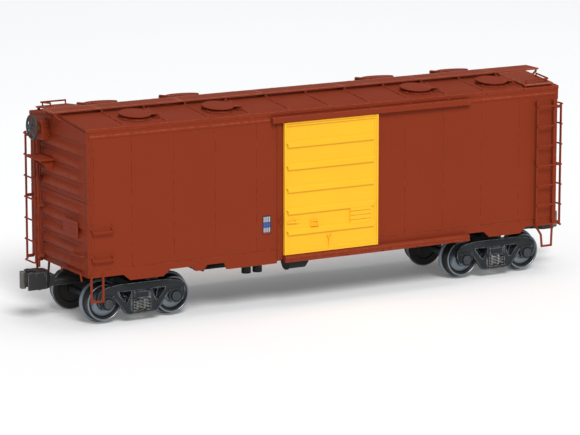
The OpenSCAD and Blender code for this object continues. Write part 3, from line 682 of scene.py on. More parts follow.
    def piece(self, name: str, finish: Finish, body: str, *stands_for: str,
              angle: float = 24.0) -> bpy.types.Object:
        """Makes the finished piece.

        Args:
            name: The piece's name.
            finish: Its finish.
            body: The CAD body that it rides on.
            stands_for: CAD nodes that it replaces.
            angle: Edges sharper than this, in degrees, are not shaded smooth.

        Returns:
            The object.
        """
        bmesh.ops.scale(self.bm, vec=(MM,) * 3, verts=self.bm.verts)
        mesh = bpy.data.meshes.new(name)
        self.bm.to_mesh(mesh)
        self.bm.free()
        if "custom_normal" in mesh.attributes:
            mesh.attributes.remove(mesh.attributes["custom_normal"])
        mesh.polygons.foreach_set("use_smooth", [True] * len(mesh.polygons))
        mesh.set_sharp_from_angle(angle=math.radians(angle))
        mesh.materials.clear()
        mesh.materials.append(FINISHES.material(finish))
        piece = bpy.data.objects.new(name, mesh)
        bpy.context.scene.collection.objects.link(piece)
        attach(piece, body)
        if stands_for:
            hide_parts(*stands_for)
        mesh.calc_loop_triangles()
        LOG.info("%s: %d triangles on %s", name, len(mesh.loop_triangles), body)
        return piece


def dress_node(node: str, finish: Finish) -> None:
    """Gives a CAD node that keeps its shape its finish.

    Args:
        node: The CAD node.
        finish: Its finish.
    """
    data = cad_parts[node].data
    data.materials.clear()
    data.materials.append(FINISHES.material(finish))


def grating(length: float, width: float, thick: float, border: float = 0.55,
            diamond: tuple[float, float] = (1.9, 1.45), strand: float = 0.17) -> Shape:
    """An open grating of diamond mesh in a frame, its lowest corner at the origin.

    Args:
        length: Its size along X.
        width: Its size along Y.
        thick: Its thickness.
        border: Width of the frame.
        diamond: Length and width of a diamond.
        strand: Width of the strands on each side of a diamond.

    Returns:
        The grating.
    """
    mesh = Shape()
    reach = max(length / diamond[0], width / diamond[1])
    count = int(reach) + 2
    turn = Matrix.Diagonal((diamond[0], diamond[1], 1, 1)) @ Matrix.Rotation(math.pi / 4, 4, "Z")
    spread = Matrix.Scale(math.sqrt(0.5) * count, 4)
    bmesh.ops.create_grid(mesh.bm, x_segments=2 * count, y_segments=2 * count, size=1.0,
                          matrix=Matrix.Translation((length / 2, width / 2, 0)) @ turn @ spread)
    for axis, keep, place in ((0, -1, border / 2), (0, 1, length - border / 2), (1, -1, border / 2),
                              (1, 1, width - border / 2)):
        normal, spot = Vector((0, 0, 0)), Vector((0, 0, 0))
        normal[axis], spot[axis] = keep, place
        bmesh.ops.bisect_plane(mesh.bm, geom=[*mesh.bm.verts, *mesh.bm.edges, *mesh.bm.faces], dist=1e-5,
                               plane_co=spot, plane_no=normal, clear_outer=True)
    bmesh.ops.remove_doubles(mesh.bm, verts=mesh.bm.verts, dist=0.04)
    cells = [f for f in mesh.bm.faces if 2 * f.calc_area() / f.calc_perimeter() > 1.3 * strand]
    bmesh.ops.inset_individual(mesh.bm, faces=cells, thickness=strand, depth=0.0, use_even_offset=True)
    bmesh.ops.delete(mesh.bm, geom=cells, context="FACES")
    raised = bmesh.ops.extrude_face_region(mesh.bm, geom=list(mesh.bm.faces))["geom"]
    bmesh.ops.translate(mesh.bm, vec=(0, 0, thick * 0.6),
                        verts=[v for v in raised if isinstance(v, bmesh.types.BMVert)])
    bmesh.ops.recalc_face_normals(mesh.bm, faces=mesh.bm.faces)
    mesh.moved(Matrix.Translation((0, 0, thick * 0.35)))
    for lo, hi in (((0, 0, 0), (length, border, thick)), ((0, width - border, 0), (length, width, thick)),
                   ((0, border, 0), (border, width - border, thick)),
                   ((length - border, border, 0), (length, width - border, thick))):
        mesh.box(lo, hi, soft=0.08)
    return mesh


# ---------------------------------------------------------------- the car body


@dataclass
class Shell:
    """Sides, ends, floor and roof of the car, with their rivets."""

    sides: Span = field(default_factory=lambda: Span.of("side_near"))
    end: Span = field(default_factory=lambda: Span.of("end_plain"))
    roof: Span = field(default_factory=lambda: Span.of("roof"))
    door: Span = field(default_factory=lambda: Span.of("door_near"))
    truck_x: float = field(default_factory=lambda: Span.of("bolster_b").mid.x)
    rivet_pitch: float = 1.42
    strip_in: float = 0.85
    plate_out: float = 0.35
    seam_up: float = 34.6

    def build(self) -> None:
        """Builds every piece of the shell."""
        for node in ("side_near", "side_far"):
            Shape.of_node(node, 0.06).piece(node + "_sheet", FINISHES.body, "carbody", node)
        for node in ("end_brake", "end_plain"):
            shape = Shape.of_node(node)
            self.wear_and_highlight_crests(shape)
            shape.piece(node + "_sheet", FINISHES.body, "carbody", node, angle=30.0)
        Shape.of_node("roof", 0.07).piece("roof_sheets", FINISHES.roof, "carbody", "roof")
        Shape.of_node("floor", 0.1).piece("floor_deck", FINISHES.under, "carbody", "floor")
        for turn in Turn:
            name = turn.name.lower()
            self.side_rivets().moved(turn.matrix).piece(f"side_{name}_rivets", FINISHES.body, "carbody")
            self.end_rivets().moved(turn.matrix).piece(f"end_{name}_rivets", FINISHES.body, "carbody")
            self.roof_rivets().moved(turn.matrix).piece(f"roof_{name}_rivets", FINISHES.roof, "carbody")
            self.placard(turn)

    def wear_and_highlight_crests(self, shape: Shape) -> None:
        """Marks the crests of an end's pressed ribs as edges that wear and take a painted highlight.

        Args:
            shape: The end's shape.
        """
        crest = self.end.hi.x - 0.45
        for face in shape.bm.faces:
            face[shape.edge] = 0.25 if abs(face.calc_center_median().x) > crest else 0.0

    def side_rivets(self) -> Shape:
        """Rivets of the near side.

        Returns:
            The corner strips, the tabs' rivets and the short rows at the doorway.
        """
        shape = Shape()
        out = (0, -1, 0)
        face, sill, lip = self.sides.lo.y, self.sides.hi.z - SIDE_TALL, self.sides.hi.z
        for x in (self.sides.lo.x + self.strip_in, self.sides.hi.x - self.strip_in):
            shape.rivets(row((x, face, sill + 1), (x, face, lip - 1), self.rivet_pitch), out, 0.38, 0.75)
        for centre in (-self.truck_x, self.truck_x):
            shape.rivets([(centre + dx, face, sill - 1.2) for dx in (-2.9, 3.9)], out, 0.42, 0.6)
        for x, way in ((self.door.lo.x - 3.9, -1), (self.door.hi.x + 2.6, 1)):
            shape.rivets([(x + way * 2.0 * k, face, sill + z) for k in range(2) for z in (0.9, 2.2, 4.3)],
                         out, 0.24)
        return shape

    def end_rivets(self) -> Shape:
        """Rivets of the end at +X: the top plate's rows, the joint's rows and the corner rows.

        Returns:
            The rivets.
        """
        shape = Shape()
        out = (1, 0, 0)
        half, lip = -self.sides.lo.y, self.sides.hi.z
        sheet = self.sides.hi.x + END_SHEET
        plate = sheet + self.plate_out
        for inset, up in ((1.6, lip - 1.7), (2.2, lip + 1.9)):
            shape.rivets(row((plate, -half + inset, up), (plate, half - inset, up), 2.6), out, 0.34, 0.6)
        seam = lip - SIDE_TALL + self.seam_up
        for z in (seam - 0.8, seam + 1.1):
            shape.rivets(row((sheet, -half + 4.2, z), (sheet, half - 4.2, z), 2.2), out, 0.2)
        for y in (-half + 1.2, half - 1.2):
            shape.rivets(row((sheet, y, seam - 34), (sheet, y, lip - 3.4), 1.9), out, 0.22)
        return shape

    def roof_rivets(self) -> Shape:
        """Rivets of the near slope: the eave flange and the plates round the hatches.

        Returns:
            The rivets.
        """
        shape = Shape()
        line = RoofLine()
        out = (0, -SLOPE, 1)
        y = -line.edge + 0.95
        for bay in range(-6, 6):
            first, last = bay * BAY + 1.5, (bay + 1) * BAY - 1.5
            first, last = max(first, self.roof.lo.x + 1), min(last, self.roof.hi.x - 1)
            if last - first > 2:
                shape.rivets(row((first, y, line.height(y)), (last, y, line.height(y)), 2.65), out, 0.36, 0.6)
        for bay in (-5, -3, 2, 4):
            for x in (bay * BAY + 1.5, (bay + 1) * BAY - 1.5):
                shape.rivets(row((x, -8, line.height(8)), (x, -27.5, line.height(27.5)), 1.7), out, 0.28, 0.6)
        return shape

    def placard(self, turn: Turn) -> None:
        """A small plate of plain coloured bars beside the door.

        Args:
            turn: The half of the car.
        """
        face, x0, z0 = self.sides.lo.y, self.door.lo.x - 10.8, self.sides.hi.z - 53.3
        width, tall = 4.5, 8.9
        plate = Shape().box((x0, face - 0.16, z0), (x0 + width, face + 0.05, z0 + tall), soft=0.05)
        name = turn.name.lower()
        plate.moved(turn.matrix).piece(f"placard_{name}_plate", FINISHES.placard, "carbody")
        colours = {"white": Shape(), "blue": Shape(), "scarlet": Shape()}
        bands = (("scarlet", 0.45, 0.9), ("white", 1.05, 3.2), ("blue", 3.5, 5.5), ("white", 5.8, 8.4))
        for colour, low, high in bands:
            for bar in range(4):
                left = x0 + 0.45 + bar * 0.95
                colours[colour].box((left, face - 0.2, z0 + low), (left + 0.62, face - 0.1, z0 + high))
        for colour, shape in colours.items():
            shape.moved(turn.matrix).piece(f"placard_{name}_{colour}", getattr(FINISHES, colour), "carbody")


@dataclass
class Hatches:
    """The eight round roof hatches: their rings, and their hinged lids."""

    lid_r: float = 7.8
    thick: float = 0.9
    gap: float = 1.35
    hinge_off: float = 9.3
    hinge_up: float = 1.7
    ear_y: float = 4.6
    hatch_y: float = 17.6
    bays: tuple[float, ...] = (-4.5, -2.5, 2.5, 4.5)

    def spot(self, number: int) -> Matrix:
        """Where a hatch sits, its Z along the roof's normal.

        Args:
            number: 1 to 4 on the near side from the hand brake end, 5 to 8 their turned copies.

        Returns:
            The place.
        """
        x = self.bays[(number - 1) % 4] * BAY
        height = RoofLine().height(self.hatch_y)
        lean = Matrix.Rotation(math.atan(SLOPE), 4, "X")
        turn = Turn.NEAR if number <= 4 else Turn.FAR
        return turn.matrix @ Matrix.Translation((x, -self.hatch_y, height)) @ lean

    def build(self) -> None:
        """Builds the rings and the lids."""
        rings = Shape.of_node("hatch_coamings", 0.06)
        for number in range(1, 9):
            rings.place(self.ring_trim(), self.spot(number))
        rings.piece("hatch_rings", FINISHES.roof, "carbody", "hatch_coamings")
        for number in range(1, 9):
            lid = self.lid().moved(self.spot(number))
            lid.piece(f"hatch_lid_{number}_dished", FINISHES.roof, f"lid_{number}", f"hatch_lid_{number}")

    def ring_trim(self) -> Shape:
        """Latch lugs and bolts round a ring's foot.

        Returns:
            The lugs and bolts, round the hatch's own axis.
        """
        shape = Shape()
        foot = self.lid_r - 0.1
        for angle in (205, 155):
            turn = Matrix.Rotation(math.radians(angle), 4, "Z")
            lug = Shape().box((foot - 0.9, -0.7, 0.05), (foot + 0.5, 0.7, 0.75), soft=0.1)
            shape.place(lug, turn)
        points = [(math.cos(a) * (foot - 0.35), math.sin(a) * (foot - 0.35), 0.35)
                  for a in (math.radians(15 * k + 7.5) for k in range(24))]
        return shape.rivets([p for p in points if p[0] < 5.5], (0, 0, 1), 0.2)

    def lid(self) -> Shape:
        """One lid: a pressed disc with a rolled rim, its leaf, barrel and pin.

        Returns:
            The lid, on the hatch's own axis.
        """
        r, t = self.lid_r, self.thick
        low = self.gap
        shape = Shape().turned([
            (0, low + 0.1), (r - 1.5, low + 0.1), (r - 1.4, low), (r - 1.1, low), (r - 0.95, low + 0.28),
            (r - 0.12, low + 0.3),
            (r, low + 0.4), (r, low + t * 0.86), (r - 0.12, low + t * 0.96), (r - 0.5, low + t * 0.96),
            (r - 0.62, low + t * 0.82),
            (r - 1.2, low + t * 0.82), (r * 0.45, low + t * 0.95), (0, low + t * 0.97)], 64)
        leaf = self.ear_y - 0.25
        shape.tapered((r - 2.4, -leaf, low + 0.1), (self.hinge_off - 0.1, leaf, low + t * 0.97), axis=0,
                      end=-1, cut=(1.0, 0.0), soft=0.12)
        pin = Matrix.Translation((self.hinge_off, 0, self.hinge_up)) @ Matrix.Rotation(math.pi / 2, 4, "X")
        barrel = Shape().rod((0, 0, -leaf), (0, 0, leaf), 0.75, sides=20, soft=0.08)
        barrel.rod((0, 0, -leaf - 1.3), (0, 0, leaf + 1.3), 0.33, sides=12, soft=0.05)
        shape.place(barrel, pin)
        shape.rivets([(r - 1.5, y, low + t * 0.97) for y in (-3.1, -1.1, 1.1, 3.1)], (0, 0, 1), 0.3)
        return shape


@dataclass
class Boards:
    """Running board, its saddles, and the two platforms over the ladders."""

    board: Span = field(default_factory=lambda: Span.of("running_board"))
    lateral: Span = field(default_factory=lambda: Span.of("lateral_boards"))
    joint: float = 0.14
    platform_len: float = 16.2
    platform_gap: float = 0.3

    def build(self) -> None:
        """Builds the boards and the brackets."""
        self.running_board().piece("running_board_grating", FINISHES.grating, "carbody", "running_board")
        saddles = Shape.of_node("board_brackets", 0.08)
        saddles.piece("board_saddles", FINISHES.roof, "carbody", "board_brackets")
        self.platforms().piece("lateral_gratings", FINISHES.grating, "carbody", "lateral_boards")

    def running_board(self) -> Shape:
        """The board in sections of two roof bays, with a clip over each joint.

        Returns:
            The board.
        """
        shape = Shape()
        lo, hi = self.board.lo, self.board.hi
        joints = [k * BAY - 1.6 for k in (-5, -3, -1, 1, 3, 5)]
        ends = [lo.x, *joints, hi.x]
        made: dict[float, Shape] = {}
        for a, b in zip(ends, ends[1:]):
            length = round(b - a - 2 * self.joint, 3)
            if length not in made:
                made[length] = grating(length, hi.y - lo.y, hi.z - lo.z)
            shape.place(made[length], Matrix.Translation((a + self.joint, lo.y, lo.z)))
        for x in joints:
            for y in (lo.y + 0.9, hi.y - 0.9):
                shape.box((x - 1.2, y - 0.5, lo.z + 0.1), (x + 1.2, y + 0.5, hi.z - 0.05), soft=0.08)
                shape.rivets([(x + dx, y, hi.z - 0.05) for dx in (-0.7, 0.7)], (0, 0, 1), 0.2, 0.2)
        return shape

    def platforms(self) -> Shape:
        """The two sloping platforms.

        Returns:
            Both platforms.
        """
        shape = Shape()
        lean = math.atan(SLOPE)
        lo, hi = self.lateral.lo, self.lateral.hi
        inner = self.board.hi.y + self.platform_gap
        start = hi.x - self.platform_len
        width = (-lo.y - inner) / math.cos(lean) - 0.1
        thick = self.board.hi.z - self.board.lo.z
        one = grating(self.platform_len, width, thick, diamond=(1.5, 1.5))
        bottom = hi.z - thick * math.cos(lean)
        spot = (Matrix.Translation((start, -inner, bottom)) @ Matrix.Rotation(lean, 4, "X")
                @ Matrix.Translation((0, -width, 0)))
        for turn in Turn:
            shape.place(one, turn.matrix @ spot)
        return shape


# ---------------------------------------------------------------- doors


@dataclass
class Door:
    """One sliding door: sheet, rim, pressed ribs, placard board, handle and latch."""

    turn: Turn
    box: Span = field(default_factory=lambda: Span.of("door_near"))
    sheet: float = 0.85
    rib: float = 0.85
    frame_w: float = 1.8
    rib_tops: tuple[float, ...] = (54.3, 43.6, 32.8, 22.3, 12.3)
    rib_h: float = 3.1

    @property
    def face(self) -> float:
        """Y of the sheet's outer face."""
        return self.box.hi.y - self.sheet

    def build(self) -> None:
        """Builds the door."""
        name = self.turn.name.lower()
        body, node = f"{name}_door", f"door_{name}"
        panel = self.panel().moved(self.turn.matrix)
        panel.piece(f"{node}_panel", FINISHES.door, body, node)
        self.fittings().moved(self.turn.matrix).piece(f"{node}_fittings", FINISHES.door, body)

    def panel(self) -> Shape:
        """The sheet with its rim and its pressed ribs.

        Returns:
            The near door's panel.
        """
        lo, hi, face = self.box.lo, self.box.hi, self.face
        top = hi.z - 0.3
        proud = face - self.rib
        shape = Shape().box((lo.x, face, lo.z), (hi.x, hi.y, top), soft=0.1)
        shape.box((lo.x + 1, (face + hi.y) / 2 - 0.25, top - 0.1), (hi.x - 1, (face + hi.y) / 2 + 0.25, hi.z))
        w = self.frame_w
        for x0, x1, outer in ((lo.x, lo.x + w, lo.x), (hi.x - w, hi.x, hi.x - 0.75)):
            shape.box((x0, face - 0.3, lo.z), (x1, face + 0.1, top), soft=0.1)
            shape.box((outer, proud, lo.z), (outer + 0.75, face + 0.1, top), soft=0.14)
        shape.box((lo.x + 0.6, face - 0.28, top - w), (hi.x - 0.6, face + 0.1, top), soft=0.1)
        shape.box((lo.x + 0.6, proud, top - 0.7), (hi.x - 0.6, face + 0.1, top), soft=0.14)
        shape.box((lo.x + 0.6, proud + 0.12, top - w), (hi.x - 0.6, face + 0.1, top - w + 0.5), soft=0.1)
        shape.box((lo.x + 0.6, face - 0.34, lo.z), (hi.x - 0.6, face + 0.1, lo.z + w + 0.5), soft=0.1)
        shape.box((lo.x + 0.6, proud, lo.z), (hi.x - 0.6, face + 0.1, lo.z + 0.6), soft=0.12)
        for z in self.rib_tops:
            self._rib(shape, lo.x + 0.9, hi.x - w - 0.1, lo.z + z)
        shape.rivets(row((lo.x + 1.6, face - 0.34, lo.z + 1.45), (hi.x - 1.6, face - 0.34, lo.z + 1.45),
                         1.15), (0, -1, 0), 0.23)
        return shape

    def _rib(self, shape: Shape, left: float, right: float, top: float) -> None:
        """Adds a pressed rib that slopes out from its top and steps back sharply below.

        Args:
            shape: The panel's shape.
            left: X of its left end.
            right: X of its right end.
            top: Height of its top.
        """
        face, proud, low = self.face, self.face - self.rib - 0.1, top - self.rib_h
        outline = [(face + 0.05, top), (face - 0.1, top - 0.1), (proud + 0.08, top - 0.95),
                   (proud, top - 1.3),
                   (proud, low + 0.3), (proud + 0.12, low + 0.08), (face - 0.05, low), (face + 0.05, low)]
        rib = Shape().prism([(left, y, z) for y, z in outline], (right - left, 0, 0))
        for vert in rib.bm.verts:
            if vert.co.z < top - 1.2:
                vert.co.x += 1.1 if vert.co.x < (left + right) / 2 else -0.5
        rib.soften(rib.bm.edges, 0.07, angle=35.0)
        shape.place(rib, Matrix())

    @property
    def board_low(self) -> float:
        """Bottom of the placard board."""
        return self.box.lo.z + 11.4

    @property
    def board_top(self) -> float:
        """Top of the placard board."""
        return self.box.lo.z + 19.7

    def fittings(self) -> Shape:
        """Placard board of four planks, hand hold, hasp and lifting bar.

        Returns:
            The near door's fittings.
        """
        lo, hi, face = self.box.lo, self.box.hi, self.face
        shape = Shape()
        x0, x1 = hi.x - 15.5, hi.x - 3.7
        low, top = self.board_low, self.board_top
        shape.box((x0, face - 0.45, low), (x1, face + 0.05, top), soft=0.06)
        plank = (top - low) / 4
        for k in range(4):
            shape.box((x0 + 0.1, face - 0.85, low + k * plank + 0.1),
                      (x1 - 0.1, face - 0.4, low + (k + 1) * plank - 0.1), soft=0.1)
        for x in (x0 + 0.7, x1 - 0.7):
            shape.rivets(row((x, face - 0.85, low + plank / 2), (x, face - 0.85, top - plank / 2), plank),
                         (0, -1, 0), 0.25)
        self._hand_hold(shape, lo.x + 14.2, lo.z + 12.3)
        self._hasp(shape, lo.x + 3.6, lo.z + 14.9)
        self._lifting_bar(shape, lo.x + 24.6, lo.z)
        return shape

    def _hand_hold(self, shape: Shape, x: float, z: float) -> None:
        """Adds the rectangular hand hold.

        Args:
            shape: The fittings' shape.
            x: Its left side.
            z: Its lower side.
        """
        face = self.face
        out = face - 0.95
        shape.box((x, face - 0.3, z + 0.1), (x + 4.4, face + 0.05, z + 3.3), soft=0.06)
        for up in (z + 2.9, z + 0.6):
            shape.wire([(x + 0.5, face, up), (x + 0.5, out, up), (x + 3.9, out, up), (x + 3.9, face, up)],
                       0.24)
        for dx in (0.5, 3.9):
            shape.box((x + dx - 0.35, out - 0.05, z + 0.3), (x + dx + 0.35, face, z + 3.2), soft=0.1)

    def _hasp(self, shape: Shape, x: float, z: float) -> None:
        """Adds the hasp that points at the door post.

        Args:
            shape: The fittings' shape.
            x: Its place along the door.
            z: Its height.
        """
        face = self.face
        shape.box((x - 0.2, face - 0.35, z - 0.3), (x + 5.3, face + 0.05, z + 1.2), soft=0.08)
        shape.tapered((x - 2.6, face - 0.95, z), (x + 3.4, face - 0.25, z + 1.0), axis=0, end=-1,
                      cut=(0.0, 0.25), soft=0.12)
        shape.rod((x + 2.6, face, z + 0.5), (x + 2.6, face - 1.1, z + 0.5), 0.55, soft=0.1)
        shape.wire([(x + 0.6, face - 0.8, z + 0.4), (x + 1.2, face - 0.8, z + 2.1),
                    (x + 2.2, face - 0.6, z + 1.2)], 0.22)

    def _lifting_bar(self, shape: Shape, x: float, z: float) -> None:
        """Adds the upright bar with its forked head.

        Args:
            shape: The fittings' shape.
            x: Its place along the door.
            z: Its height.
        """
        face = self.face
        shape.box((x - 0.42, face - 0.75, z + 0.1), (x + 0.42, face + 0.05, z + 5.9), soft=0.12)
        for way in (-1, 1):
            shape.wire([(x, face - 0.45, z + 5.2), (x + way * 1.15, face - 0.5, z + 7.6)], 0.34)
            shape.box((x + way * 0.9 - 0.45, face - 0.7, z + 0.2),
                      (x + way * 0.9 + 0.45, face + 0.05, z + 1.5), soft=0.1)
        shape.rod((x, face, z + 5.3), (x, face - 0.95, z + 5.3), 0.5, soft=0.1)


@dataclass
class Tracks:
    """The tracks and posts that the doors run on."""

    upper: Span = field(default_factory=lambda: Span.of("upper_tracks"))
    lower: Span = field(default_factory=lambda: Span.of("lower_tracks"))
    side: Span = field(default_factory=lambda: Span.of("side_near"))
    door: Span = field(default_factory=lambda: Span.of("door_near"))

    def build(self) -> None:
        """Builds the tracks and the posts."""
        upper = Shape.of_node("upper_tracks", 0.12)
        lower, posts = Shape(), Shape.of_node("door_posts", 0.08)
        for turn in Turn:
            upper.place(self.upper_trim(), turn.matrix)
            lower.place(self.rail(), turn.matrix)
            posts.place(self.post_trim(), turn.matrix)
        upper.piece("upper_track_hoods", FINISHES.body, "carbody", "upper_tracks")
        lower.piece("lower_track_rails", FINISHES.body, "carbody", "lower_tracks")
        posts.piece("door_posts_riveted", FINISHES.body, "carbody", "door_posts")

    def upper_trim(self) -> Shape:
        """A stop bracket at the open end of the upper track.

        Returns:
            The near side's bracket.
        """
        shape = Shape()
        right = self.upper.hi.x
        out = self.upper.lo.y
        low = self.upper.lo.z + 0.4
        middle = low + 0.9
        shape.rod((right - 0.4, out + 0.1, middle), (right - 0.4, self.side.lo.y, middle), 1.35, sides=24,
                  soft=0.15)
        shape.rod((right - 0.4, out + 0.15, middle), (right - 0.4, out - 0.15, middle), 0.62, sides=16,
                  soft=0.1)
        shape.box((right - 5.2, out - 0.1, low - 0.1), (right - 4.6, out + 0.4, low + 2.0), soft=0.1)
        return shape

    def rail(self) -> Shape:
        """The lower track as a beaded rail with hooked ends.

        Returns:
            The near side's rail.
        """
        shape = Shape()
        x0, x1 = self.door.lo.x, self.lower.hi.x
        wall, out = self.side.lo.y, self.lower.lo.y
        top, low = self.lower.hi.z, self.lower.lo.z
        tall = top - low
        outline = [(wall, top - 0.1), (wall, top - 1.0), (wall - 1.6, low), (out + 0.25, low),
                   (out, low + 0.25),
                   (out, low + 0.9), (out + 0.3, low + 1.05), (out + 0.3, low + 1.35),
                   (out + 0.05, low + 1.5),
                   (out + 0.05, low + tall * 0.72), (out + 0.35, low + tall * 0.78), (out + 0.5, top - 0.35),
                   (out + 0.75, top), (out + 1.0, top), (out + 1.0, top - 0.75), (wall - 0.35, top - 0.75),
                   (wall - 0.3, top - 0.1)]
        shape.prism([(x0, y, z) for y, z in outline], (x1 - x0, 0, 0), soft=0.05)
        for k in range(5):
            x = x0 + (k + 0.7) * (x1 - x0) / 5.2
            shape.box((x - 0.9, out, low + 0.1), (x + 0.9, out + 0.3, low + 0.8), soft=0.08)
            shape.rivets([(x, out, low + 0.45)], (0, -1, 0), 0.22)
        loop = out + 1.05
        shape.wire([(x1 - 4.0, loop - 0.5, top - 0.5), (x1 - 1.0, loop - 0.6, top - 0.3),
                    (x1 - 0.15, loop - 0.4, top - 0.9),
                    (x1 - 0.6, loop - 0.5, top - 1.6), (x1 - 3.6, loop - 0.6, top - 1.9)], 0.32)
        return shape

    def post_trim(self) -> Shape:
        """Rivets of the door post and its keeper.

        Returns:
            The near side's rivets and keeper.
        """
        post = self.door.lo.x - 1.7
        face = self.side.lo.y - 0.5
        sill = self.door.lo.z - 0.5
        shape, seam = Shape(), post - 0.45
        for low, high in ((sill - 1.2, sill + 14.4), (sill + 18.4, self.side.hi.z - 1.5)):
            shape.rivets(row((seam, face, low), (seam, face, high), 1.25), (0, -1, 0), 0.24)
        shape.rod((post - 0.3, face - 1.05, sill + 16.9), (post + 1.0, face - 1.05, sill + 18.6), 0.28)
        shape.rod((post, face, sill + 16.3), (post, face - 1.1, sill + 16.3), 0.5, soft=0.08)
        return shape


# ---------------------------------------------------------------- ladders and end gear


@dataclass
class Rigging:
    """Ladders, grab irons, steps and uncoupling rods."""

    ladder_in: float = 7.5
    half_ladder: float = 4.85

    def build(self) -> None:
        """Dresses the wire parts and bolts their feet."""
        for node in ("side_ladders", "end_ladders", "grab_irons", "uncoupling_levers"):
            dress_node(node, FINISHES.body)
        Shape.of_node("sill_steps", 0.08).piece("sill_step_straps", FINISHES.body, "carbody", "sill_steps")
        self.bolts().piece("ladder_bolts", FINISHES.body, "carbody")

    def bolts(self) -> Shape:
        """Bolt heads at the feet of ladders, grabs and steps.

        Returns:
            The bolt heads of both halves.
        """
        shape = Shape()
        side, ladder = Span.of("side_near"), Span.of("side_ladders")
        step = Span.of("sill_steps")
        one = Shape()
        for x in (side.hi.x - self.ladder_in - self.half_ladder,
                  side.hi.x - self.ladder_in + self.half_ladder):
            for z in (ladder.lo.z + 1.4, (ladder.lo.z + ladder.hi.z) / 2, ladder.hi.z - 1.8):
                one.box((x - 0.6, side.lo.y - 0.25, z - 1.3), (x + 0.6, side.lo.y + 0.05, z + 1.3), soft=0.06)
                one.rivets([(x, side.lo.y - 0.25, z - 0.95), (x, side.lo.y - 0.25, z + 0.95)], (0, -1, 0),
                           0.26, 0.6)
        for x in (-side.hi.x + 0.9, -side.hi.x + 11.3):
            for z in (side.hi.z - 54.7, side.hi.z - 41.6):
                one.rod((x, side.lo.y + 0.05, z), (x, side.lo.y - 0.32, z), 0.85, sides=16, soft=0.08)
                one.rivets([(x, side.lo.y - 0.3, z - 1.1), (x, side.lo.y - 0.3, z + 1.0)], (0, -1, 0), 0.36,
                           0.7)
        sill = side.hi.z - SIDE_TALL
        for x in (step.lo.x + 0.5, step.lo.x + 6.5):
            one.rivets([(x, step.lo.y, sill + 0.6), (x, step.lo.y, sill - 0.9)], (0, -1, 0), 0.28, 0.6)
        for turn in Turn:
            shape.place(one, turn.matrix)
        return shape


